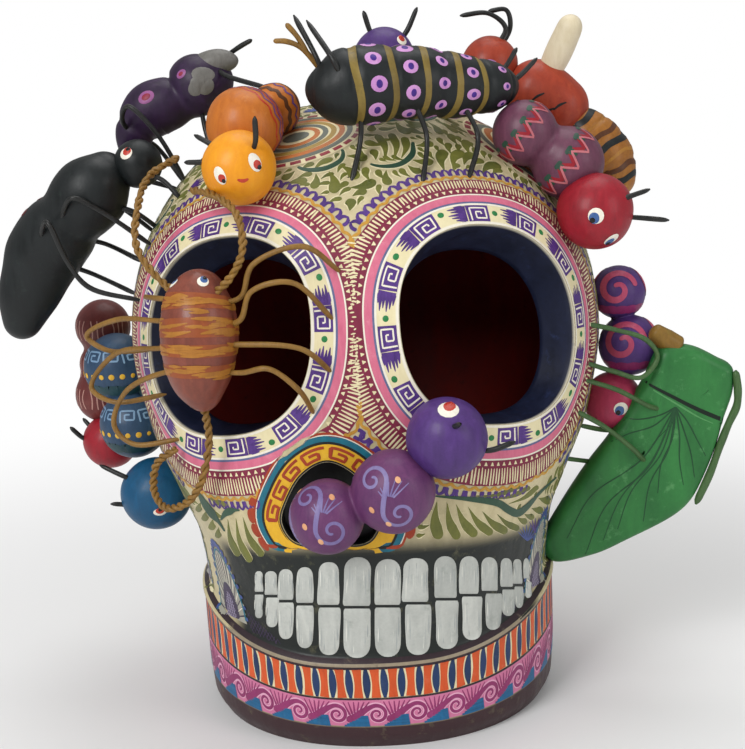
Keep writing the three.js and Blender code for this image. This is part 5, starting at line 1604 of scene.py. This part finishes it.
# The yellow grub on the brow: a bright yellow head with almond eyes and a small red mouth, and two
# orange balls with zigzags and stripes. A third feeler branches from its wire.
sunny = enamel("sunny yellow", "f0a41c", "d8800c", under="f4c050", scale=420, wear=0.2, coat=0.14)
tangerine = enamel("tangerine", "cc7826", "a4561a", under="f0c27a", scale=420, wear=0.2, coat=0.14)
purple = enamel("purple", "6c4384", "4b2c60", under="9c7cae", scale=700, wear=0.15)
brown = enamel("brown", "6b3f20", "4a2812", under="a97c4c", scale=700, wear=0.15)
yellow_head = beads("yellow_grub_head", [(-31, 1.48, 0.68)], sunny, "yellow_paint")
yellow_body = beads("yellow_grub_body", [(-38, 1.72, 0.5), (-38, 1.61, 0.725)], tangerine, "orange_paint")
wires("yellow_grub_feelers",
      [(-23, 1.51, 1.6), (-24, 1.485, 1.15), (-30, 1.48, 0.75), (-34, 1.485, 1.05), (-41, 1.5, 1.3)],
      [(-32, 1.48, 0.9), (-36, 1.46, 1), (-42, 1.45, 1.1)])
reds, purples, browns = paints("yellow_grub", reds=eye_red, purples=purple, browns=brown)
length = yellow_body.round.across[-1]


def zigzag_belt(paint, body, along, depth, points, width, layer=1):
    """A zigzag painted right round a body."""
    path = [(along + depth * (-1) ** k, k / points * body.girth) for k in range(points + 2)]
    paint.stroke(body.round, path, width, layer, smooth=False, square=True)


# share of the length, paint, depth of the zigzag and width of each belt
yellow_belts = ((0.5, reds, 0.4, 2.2), (0.56, reds, 0.5, 1.0), (0.53, purples, 1.3, 0.8),
                (0.6, purples, 1.0, 0.7), (0.66, reds, 0.6, 0.9), (0.14, browns, 0.4, 1.4),
                (0.22, purples, 0.8, 0.9), (0.3, browns, 0.4, 1.6))
for share, paint, depth, wide in yellow_belts:
    zigzag_belt(paint, yellow_body, share * length, depth, 26, wide, 2 if paint is purples else 1)
yellow_mouth_pixel = (243, 181)
mouth_chart = yellow_head.spot(*yellow_mouth_pixel, 4)
reds.stroke(mouth_chart, [(-2, 0.6), (0, 0), (2, 0.6)], [0.7, 1.5, 0.7], 1)
finish("orange_paint", reds, purples, browns)
eyes(yellow_head, "yellow_grub", "yellow_paint", eye_red)


# The beetle across the brow: one long black body with old gold bands and, between them, lilac dots
# with violet hearts, on three black wires; its horns and tail pins are black, its fork ochre wire.
beetle = long_body("beetle_body", [(-12, 1.67, 1.05, 0.35), (-7, 1.67, 1.05, 0.625), (5, 1.68, 1.05, 0.725),
                                   (25, 1.69, 1, 0.675), (46, 1.67, 0.95, 0.575), (60, 1.65, 1, 0.45),
                                   (66, 1.64, 1.05, 0.25)], black_painted_sheen, "black_paint",
                   waists=[(at, 0.07, 0.018) for at in (0.3, 0.44, 0.58, 0.72, 0.86)])
wires("beetle_legs_1", [(0, 1.5, -0.05), (4, 1.6, 0.35), (5, 1.64, 0.8), (9, 1.72, 0.65), (11, 1.75, -0.05)])
wires("beetle_legs_2", [(22, 1.48, -0.05), (27, 1.59, 0.4), (24, 1.63, 0.85), (33, 1.73, 0.65),
                        (36, 1.76, -0.05)])
wires("beetle_legs_3", [(37, 1.48, -0.05), (45, 1.57, 0.4), (42, 1.63, 0.8), (53, 1.71, 0.65),
                        (57, 1.74, -0.05)])
wires("beetle_horns", [(-15, 1.73, 2.15), (-3, 1.64, 1.7), (-2, 1.655, 1.2), (-8, 1.675, 1.1),
                       (-10, 1.675, 1.6), (-21, 1.745, 2.2)])
wires("beetle_fork", [(-7, 1.69, 1.1), (-9.7, 1.69, 1.3), (-15.8, 1.69, 1.8), (-20, 1.68, 2),
                      (-24, 1.675, 2.05)],
      [(-14, 1.69, 1.65), (-17, 1.695, 2), (-20.5, 1.7, 2.25)], metal=ochre_iron, slot="ochre_wire")
wires("beetle_tail_pins", [(70, 1.67, 1.7), (65, 1.665, 1.3), (58, 1.665, 1), (57, 1.64, 1),
                           (67, 1.635, 1.25), (73, 1.63, 1.7)])
old_gold = enamel("old gold", "8f7a3a", "5c4a20", under="3c4034", scale=300, wear=0.4)
lilac_pink = enamel("lilac pink", "d29cd0", "b478b8", under="e0c0dc", scale=600, wear=0.2)
ink_violet = enamel("ink violet", "4c2a94", "2c1860", under="6a4cae", scale=600, wear=0.15)
grooves, petals, hearts = paints("beetle", grooves=old_gold, dots=lilac_pink, dot_hearts=ink_violet)
length = beetle.round.across[-1]
band_pixels, back_pixel = (359, 395, 429, 459, 486), 88
columns = [beetle.round.find(beetle.seen(x, back_pixel))[0] for x in band_pixels]
for along in columns:
    path = [(along + 0.5 * math.sin(share * 19), share * beetle.girth) for share in np.linspace(0, 1, 15)]
    grooves.stroke(beetle.round, path, [2.4, 2.7, 2.1, 2.6, 2.4], 1, step=1.2, square=True)
edges = [*columns, 0.95 * length]
for n in range(len(edges) - 1):
    along = (edges[n] + edges[n + 1]) / 2
    for k in range(9):
        place = (along + chance.uniform(-0.5, 0.5), (k + 0.4 * (n % 2)) * beetle.girth / 9)
        size = 2.9 - 0.18 * n + chance.uniform(-0.2, 0.2)
        petals.dot(beetle.round, place, (size, size * 0.86), 1)
        hearts.dot(beetle.round, place, (size * 0.38, size * 0.44), 5)
finish("black_paint", grooves, petals, hearts)


# The crown grub, a violet head with feelers before a hidden body; and the wasp: a red-orange head and
# thorax, a striped abdomen that hangs beside the brow, and a bare bone-coloured rod standing on it.
rust = enamel("red orange", "b4462a", "7e2616", under="c8703c", scale=380, wear=0.2, coat=0.12)
wasp_orange = enamel("wasp ochre", "b07428", "7c4a1a", under="c89a50", scale=380, wear=0.2, coat=0.14)
bone = enamel("bone", "e8ddc4", "cfc09c", under="a8926a", scale=600, wear=0.2)
crown_head = beads("crown_grub_head", [(35, 1.89, 0.6, 0.35)], violet, "violet_paint")
beads("crown_grub_body", [(82, 1.93, 0.55)], violet, "violet_paint")
wires("crown_grub_feelers", [(17, 1.91, 1.8), (24, 1.9, 1.35), (35, 1.89, 1.05), (48, 1.87, 1.35),
                             (55, 1.86, 1.9)])
eyes(crown_head, "crown_grub", "violet_paint", eye_red, pupil=eye_red)
wasp_head = beads("wasp_head", [(97, 1.72, 0.575, 0.6)], rust, "rust_paint")
thorax = beads("wasp_thorax", [(95, 1.6, 0.65, 0.5), (94, 1.54, 0.625, 0.55)], rust, "rust_paint")
nub_radius = 0.225 * reach
nub_centre = off(97, 1.56, nub_radius - sunk + 1.4 * reach)
nub_path = thorax.centres[1] + (nub_centre - thorax.centres[1]) * np.linspace(0.4, 1.24, 12)[:, None]
nub_radii = nub_radius * np.sqrt(np.clip(1 - np.maximum(0, np.linspace(-6, 1, 12)) ** 2, 0.001, 1))
rings = sweep(nub_path, nub_radii, 24).transpose(1, 0, 2)
nub = make_mesh("wasp_nub", rings.reshape(-1, 3), grid_faces(24, 12, closed=True),
                {"tone": np.full(24 * 12, 0.6)})
dress(nub, rust, "rust_paint")
abdomen = long_body("wasp_abdomen", [(94, 1.49, 1.15, 0.4), (94, 1.44, 1.15, 0.57), (94, 1.37, 1.15, 0.6),
                                     (94, 1.31, 1.1, 0.4)],
                    wasp_orange, "orange_paint", waists=[(at, 0.05, 0.03) for at in (0.25, 0.5, 0.75)])
long_body("wasp_sting", [(94, 1.6, 1.45, 0.225), (92, 1.61, 2, 0.28), (90, 1.62, 2.6, 0.25)], bone,
          "bone_paint")
wires("wasp_feelers", [(94, 1.81, 1.85), (94, 1.76, 2.05), (94, 1.72, 1.9), (95, 1.725, 1.4),
                       (97, 1.72, 1.05), (99, 1.715, 1.4), (99, 1.71, 1.95), (99, 1.73, 2.25),
                       (100, 1.76, 2.1)])
wires("wasp_legs_1", [(84, 1.64, -0.05), (84, 1.63, 0.6), (94, 1.61, 0.95), (104, 1.6, 0.6),
                      (105, 1.6, -0.05)])
wires("wasp_legs_2", [(84, 1.5, -0.05), (84, 1.51, 0.6), (94, 1.53, 0.95), (104, 1.51, 0.6),
                      (105, 1.5, -0.05)])
golds, browns, blacks = paints("wasp", golds=ochre, browns=brown, blacks=black_painted_sheen)
length = abdomen.round.across[-1]
for n, share in enumerate((0.16, 0.27, 0.38, 0.5, 0.61, 0.72, 0.83)):
    paint = (blacks, golds, browns)[n % 3]
    path = [(share * length + 0.6 * math.sin(k * 2.1 + n), k / 14 * abdomen.girth * 1.01) for k in range(15)]
    paint.stroke(abdomen.round, path, (2.6, 1.2, 2)[n % 3], 1, step=1.2)
thorax_line_pixels = ((538, 97), (548, 112), (560, 106))
for pixel in thorax_line_pixels:
    blacks.stroke(thorax.spot(*pixel, 6, 0.5), [(-3, 0), (0, 0.4), (3, 0)], [0.5, 1.1, 0.5], 1)
finish("orange_paint", golds, browns, blacks)
eyes(wasp_head, "wasp", "rust_paint", eye_black)


# The red grub at the right temple: plum balls with pink zigzags and dark green triangles, behind a red
# head whose two eyes are white and blue.
plum = enamel("plum", "744258", "4a2438", under="9c6a84", scale=420, wear=0.2, coat=0.14)
grub_red = enamel("grub red", "ac1e2e", "72121e", under="b8404a", scale=420, wear=0.2, coat=0.14)
coral = enamel("coral", "c47278", "a0505c", under="dca0a0", scale=700, wear=0.15)
bottle_green = enamel("bottle green", "2f5242", "1b3429", under="6b8a6a", scale=700, wear=0.15)
red_head = beads("red_grub_head", [(67.5, 1.3, 0.725)], grub_red, "red_paint")
red_body = beads("red_grub_body", [(62.5, 1.54, 0.625), (69.5, 1.43, 0.7)], plum, "plum_paint")
wires("red_grub_feelers", [(68, 1.29, 1.8), (66, 1.295, 1.2), (68, 1.28, 0.8), (70, 1.255, 1.2),
                           (73, 1.22, 1.8)])
pinks, greens, glows = paints("red_grub", zigzags=coral, triangles=bottle_green, glow=grub_red)
length = red_body.round.across[-1]
for share in (0.24, 0.68):
    zigzag_belt(pinks, red_body, share * length, 3.0, 24, 0.75, 3)
    zigzag_belt(glows, red_body, share * length - 1.7, 2.6, 24, 1.3, 1)
    for k in range(12):
        middle = (2 * k + 1) / 24 * red_body.girth
        for out, wide in ((0.4, 3.4), (1.8, 2.2), (3.2, 1.0)):
            along = share * length - 4.4 + out
            side_to_side = [(along, middle - wide / 2), (along, middle + wide / 2)]
            greens.stroke(red_body.round, side_to_side, 1.7, 2, smooth=False)
finish("plum_paint", pinks, greens, glows)
eyes(red_head, "red_grub", "red_paint", eye_blue)


# The scroll grub on the right cheekbone: violet balls with big pink spirals over magenta undersides,
# and a pink-red head.
magenta = enamel("magenta", "9a306e", "701e4e", under="d08ab0", wear=0.15)
grub_pink = enamel("grub pink", "c44062", "942848", under="cc6a84", scale=420, wear=0.2, coat=0.14)
scroll_head = beads("scroll_grub_head", [(88.5, 0.79, 0.6)], grub_pink, "pink_paint")
scroll_body = beads("scroll_grub_body", [(92, 1.062, 0.55), (90, 0.934, 0.625, 0.125)], violet,
                    "violet_paint")
deep_pink = enamel("deep pink", "c85476", "9c3858", under="d898a8", scale=600, wear=0.2)
pinks, magentas = paints("scroll_grub", spirals=deep_pink, undersides=magenta)
scroll_ball_pixels = ((617, 287, 8.4), (623, 337, 9.4))
for ball, (x, y, size) in enumerate(scroll_ball_pixels):
    heading, _ = scroll_body.way_seen(ball, x, y)
    for aside in (-120, 0, 120):
        chart = scroll_body.ball_spot(ball, heading + aside, 16, 13)
        pinks.stroke(chart, spiral(1.35, size, 2.4, -1, 26), [1.8, 2.8, 3.3, 2.4], 3)
    for turn in np.arange(0, 360, 24):
        chart = scroll_body.ball_spot(ball, turn, -38, 5)
        magentas.stroke(chart, [(-3.2, 0.6), (0, 1), (3.2, 0.6)], [3.6, 4.6, 3.6], 1)
finish("violet_paint", pinks, magentas)
eyes(scroll_head, "scroll_grub", "pink_paint", eye_blue)


# The katydid on the right side: a slab of clay cut to a wing's outline, streaked with greens and
# scored with two slits, whose shade is painted on as dark strokes, and fine veins, with an ochre stub on top
# and green iron legs.
wing_green = enamel("wing green", "35803f", "1d5a2b", under="64a066", scale=200, wear=0.5, coat=0.12)
stub_olive = enamel("stub olive", "94722e", "64481c", under="4f6b2c", scale=420)
green_iron = enamel("green iron", "4f7040", "2f4a28", under="8a9a5a", scale=900, wear=0.3)
wing_length, wing_thickness = 92.0, 13.0
wing_middle = off(85, 0.816, 0.39 * wing_length)


def on_wing(places):
    return wing_middle + np.asarray(places, float) * (wing_length, wing_thickness, wing_length)


outline = curve_through([
    (-0.07, 0, 0.27), (0.06, 0, 0.27), (0.18, 0, 0.21), (0.24, 0, 0.17), (0.245, 0, 0.07), (0.2, 0, -0.07),
    (0.175, 0, -0.16), (0.125, 0, -0.3), (0.065, 0, -0.42), (0, 0, -0.485), (-0.235, 0, -0.61),
    (-0.38, 0, -0.67), (-0.57, 0, -0.695), (-0.62, 0, -0.61), (-0.565, 0, -0.5), (-0.39, 0, -0.235),
    (-0.3, 0, -0.12), (-0.21, 0, 0.02), (-0.14, 0, 0.14)], 190, closed=True)
outline = evenly(on_wing(outline), 190)
along = unit(np.roll(outline, -1, axis=0) - np.roll(outline, 1, axis=0))
inward = np.cross(along, (0, 1.0, 0))
heart = outline.mean(axis=0) + (0, 0, 4)
inward *= np.sign(((heart - outline) * inward).sum(-1, keepdims=True))
half = wing_thickness / 2
rings = []
for inset, out in ((26, -1.0), (15, -1.0), (8, -1), (3.6, -0.97), (1.7, -0.86), (0.6, -0.62), (0, -0.3),
                   (0, 0.3), (0.6, 0.62), (1.7, 0.86), (3.6, 0.97), (8, 1), (15, 1.0), (26, 1.0)):
    share = min(1, inset / 40)
    ring = outline + inward * min(inset, 4) + (heart - outline) * max(0, share - 0.1)
    swell = 0.5 * np.sin(ring[:, 0] / 7) * np.sin(ring[:, 2] / 9)
    rings.append(ring + np.array([0, 1.0, 0]) * (half * out + swell)[:, None])
rings = [outline * 0.02 + heart * 0.98 + (0, -half, 0), *rings, outline * 0.02 + heart * 0.98 + (0, half, 0)]
points, faces = close_grid(rings)
wing_skin = Skin(points, faces)
wing = make_mesh("katydid_wing", points, faces,
                 {"tone": 0.5 + 0.35 * np.sin(points[:, 0] / 4 + points[:, 2] / 11)})
dress(wing, wing_green, "leaf_paint", "katydid_wing")
stub_centres = on_wing([(-0.09, 0, 0.335), (-0.045, 0, 0.3), (0, 0, 0.27)])
turn = np.linspace(0.05, math.pi / 2, 12, endpoint=False)
line = curve_through(stub_centres, 30)
swell = np.interp(np.linspace(0, 2, 30), [0, 1, 2], [3.6, 4.5, 4.5])
lead = np.cos(turn)[:, None] * 2.2
path = np.vstack([line[0] - unit(line[1] - line[0]) * lead, line,
                  line[-1] + unit(line[-1] - line[-2]) * lead[::-1]])
Body("katydid_stub", path, np.concatenate([3.6 * np.sin(turn), swell, (4.5 * np.sin(turn))[::-1]]),
     stub_olive, "olive_paint")
for n, places in enumerate((
        [(68, 1.03, -0.05), (75, 1, 0.35), (79, 0.97, 0.95), (81, 0.93, 1.2), (79, 0.885, 0.95),
         (76, 0.895, 0.4), (67, 0.93, -0.05)],
        [(67, 0.885, -0.05), (76, 0.85, 0.55), (80, 0.815, 1.2), (86, 0.79, 1.7), (88, 0.75, 1.3),
         (85, 0.73, 0.6), (79, 0.73, -0.05)],
        [(64, 0.81, -0.05), (73, 0.76, 0.5), (79, 0.715, 1.3), (85, 0.68, 1.6), (87, 0.65, 1.1),
         (84, 0.64, 0.5), (78, 0.64, -0.05)])):
    wires(f"katydid_legs_{n + 1}", places, metal=green_iron, slot="green_wire")
hind_leg = on_wing([(0.25, -0.35, 0.16), (0.26, -0.35, 0.06), (0.255, -0.35, 0), (0.22, -0.35, -0.08),
                    (0.185, -0.35, -0.17), (0.14, -0.35, -0.3), (0.075, -0.35, -0.445)])
wire_runs("katydid_hind_leg", [hind_leg], cord_radius, green_iron, "green_wire")
# near-black matt green: the painted shade inside the two scored slits
slit_shade_paint = enamel("slit shade green", "14291b", "0b170f", scale=700, wear=0.0, rough=0.6, coat=0)
vein_green = enamel("vein green", "1d4f2c", "123a20", under="2f883c", wear=0.3)
pale_green = enamel("pale green", "5a9a5c", "3c7c46", under="2f883c", wear=0.3)
slits, veins, edges = paints("katydid", slit=slit_shade_paint, veins=vein_green, fold_edge=pale_green)
wing_pixel, vein_root = (672, 400), (677, 408)
upper_slit_pixels = [(646, 381), (672, 395), (700, 410), (725, 424)]
lower_slit_pixels = [(719, 424), (718, 445), (711, 475), (697, 506)]
fold_pixels = [(652, 389), (676, 402), (700, 415), (714, 422)]
# the end of each vein and how far it bows aside
vein_ends = ((607, 448, 4), (622, 422, 2), (565, 538, 9), (585, 553, 9), (604, 539, 8), (619, 530, 7),
             (643, 520, 5), (658, 493, 4), (685, 486, 2), (695, 476, -1), (706, 457, -3))
front_of_wing = wing_skin.sheet(wing_skin.seen(*wing_pixel), np.array([0, -1.0, 0]), 66, step=1.5)


def score(paint, pixels, width):
    """A stroke on the wing through the places that the photograph shows at some pixels."""
    path = np.array([front_of_wing.find(wing_skin.seen(x, y)) for x, y in pixels])
    paint.stroke(front_of_wing, path, width, 1)


# the two slits are painted as dark strokes of shade; the wing itself is not cut
score(slits, upper_slit_pixels, [0.8, 1.4, 1.8, 1.4])
score(slits, lower_slit_pixels, [1.0, 2.2, 2.2, 0.8])
score(edges, fold_pixels, [0.4, 0.8, 0.3])
for x, y, bow in vein_ends:
    root, end = np.array(vein_root), np.array((x, y))
    near, far = root + (end - root) * 0.33 + (0.2 * bow, bow), root + (end - root) * 0.67 + (-bow, 0.2 * bow)
    score(veins, [root, near, far, end], [0.65, 0.6, 0.3])
finish("leaf_paint", slits, veins, edges)


# The blue grub on the left side: grey-blue balls with light square frets above a row of yellow dots
# and dark teal undersides, and a teal head that hangs beside the cheek.
grey_blue = enamel("grey blue", "365270", "1e344c", under="50687e", scale=420, coat=0.12)
teal = enamel("teal", "135a84", "0b3e5e", under="2c647c", scale=420, wear=0.2, coat=0.12)
dark_teal = enamel("dark teal", "234a52", "142f36", under="4a6f74", wear=0.15)
light_blue = enamel("light blue", "86a6c4", "6484a4", under="3e5c7e", scale=800, wear=0.1)
dab_yellow = enamel("dab yellow", "e4b93e", "c6952a", under="f0dc8c", scale=800, wear=0.1)
blue_body = beads("blue_grub_body", [(-97, 0.92, 0.725), (-96, 0.77, 0.725)], grey_blue, "navy_paint")
blue_head = beads("blue_grub_head", [(-88, 0.6, 0.765)], teal, "teal_paint")
wires("blue_grub_feelers", [(-87, 0.73, 1.5), (-85, 0.675, 1.05), (-86, 0.63, 0.8), (-86, 0.6, 1.1),
                            (-85, 0.625, 1.65)])
frets, drops, unders = paints("blue_grub", frets=light_blue, dots=dab_yellow, undersides=dark_teal)
belly = [(-4.6, 0.6), (0, 0), (4.6, 0.6)]
fret = np.array([(-3, -2.6), (-3, 2.6), (3, 2.6), (3, -1.4), (-1, -1.4), (-1, 0.9), (1.2, 0.9)])
for ball in (0, 1):
    for turn in np.arange(-180, 180, 36):
        frets.stroke(blue_body.ball_spot(ball, turn, 26, 5), fret, 0.8, 1, smooth=False)
        unders.stroke(blue_body.ball_spot(ball, turn, -34, 6), belly, [5, 6, 5], 1)
    for turn in np.arange(-180, 180, 18):
        drops.dot(blue_body.ball_spot(ball, turn, -6, 3), (0, 0), chance.uniform(0.9, 1.3), 2)
finish("navy_paint", frets, drops, unders)
eyes(blue_head, "blue_grub", "teal_paint", eye_red)


# The brick grub behind it, against the ear: red-brown balls with thin pale pink lines and a red head,
# whose feelers stand out to the side.
brick = enamel("brick red", "7c3a36", "562222", under="985a54", scale=420, coat=0.12)
pale_pink = enamel("pale pink", "c89a8e", "a8786e", under="7c3226", scale=800, wear=0.15)
brick_body = beads("brick_grub_body", [(-107, 1, 0.6, 0.65), (-107, 0.92, 0.525, 0.85),
                                       (-107, 0.845, 0.6, 1)], brick, "brick_paint")
beads("brick_grub_head", [(-105, 0.745, 0.6, 1.1)], grub_red, "red_paint")
wires("brick_grub_feelers", [(-101, 0.79, 2.25), (-102, 0.765, 2.05), (-105, 0.73, 1.6), (-108, 0.765, 2.05),
                             (-109, 0.79, 2.3)])
lines = Paint("brick_grub_lines", pale_pink)
for ball in (0, 1, 2):
    for turn in np.arange(-180, 180, 45):
        chart = brick_body.ball_spot(ball, turn, 0, 8)
        for aside in (-2.2, 0, 2.2):
            lines.stroke(chart, [(aside * 1.3, -4.5), (aside, 0), (aside * 1.3, 4.5)], 0.55, 1)
finish("brick_paint", lines)


# The table and the light: a plain white sheet under and behind it, a broad window from the left, a
# weaker one from the right and a soft light above.
floor_mesh = bpy.data.meshes.new("floor")
floor_mesh.from_pydata([(-6, -6, 0), (6, -6, 0), (6, 6, 0), (-6, 6, 0)], [], [(0, 1, 2, 3)])
floor_piece = bpy.data.objects.new("floor", floor_mesh)
bpy.context.collection.objects.link(floor_piece)
floor_paint = bpy.data.materials.new("white table")
floor_paint.use_nodes = True
tree = floor_paint.node_tree
shader, output = tree.nodes["Principled BSDF"], tree.nodes["Material Output"]
shader.inputs["Base Color"].default_value = (0.86, 0.86, 0.86, 1)
shader.inputs["Roughness"].default_value = 0.7
path, place = add_node(tree, "ShaderNodeLightPath"), add_node(tree, "ShaderNodeTexCoord")
far = add_node(tree, "ShaderNodeVectorMath", operation="LENGTH")
fade = add_node(tree, "ShaderNodeMapRange", {"From Min": 0.14, "From Max": 0.55},
                interpolation_type="SMOOTHSTEP")
plain_white, both = add_node(tree, "ShaderNodeEmission"), add_node(tree, "ShaderNodeMixShader")
faded = add_node(tree, "ShaderNodeMath", operation="MULTIPLY")
link(tree, (place, "Object", far, 0), (far, "Value", fade, "Value"), (fade, "Result", faded, 0),
     (path, "Is Camera Ray", faded, 1), (faded, 0, both, "Fac"), (shader, 0, both, 1),
     (plain_white, 0, both, 2), (both, 0, output, "Surface"))
floor_mesh.materials.append(floor_paint)

world = bpy.data.worlds.new("studio")
bpy.context.scene.world = world
world.use_nodes = True
tree = world.node_tree
glow = tree.nodes["Background"]
seen_by = add_node(tree, "ShaderNodeLightPath")
level = add_node(tree, "ShaderNodeMapRange", {"To Min": 0.36, "To Max": 1.0})
link(tree, (seen_by, "Is Camera Ray", level, "Value"), (level, "Result", glow, "Strength"))
glow.inputs["Color"].default_value = (1, 1, 1, 1)


def lamp(name, place, target, power, size):
    light = bpy.data.lights.new(name, "AREA")
    light.energy = power
    light.shape = "RECTANGLE"
    light.size, light.size_y = size
    piece = bpy.data.objects.new(name, light)
    piece.location = place
    piece.rotation_euler = (Vector(target) - Vector(place)).to_track_quat("-Z", "Y").to_euler()
    bpy.context.collection.objects.link(piece)


lamp("key window", (-0.7, -1.1, 1.0), (0, 0, 0.13), 15, (0.6, 0.8))
lamp("right fill", (1.1, -0.8, 0.6), (0, 0, 0.12), 4.5, (0.6, 0.9))
lamp("top light", (0.1, 0.3, 1.4), (0, 0, 0.1), 7, (0.9, 0.9))

bpy.context.scene.view_settings.view_transform = "Standard"
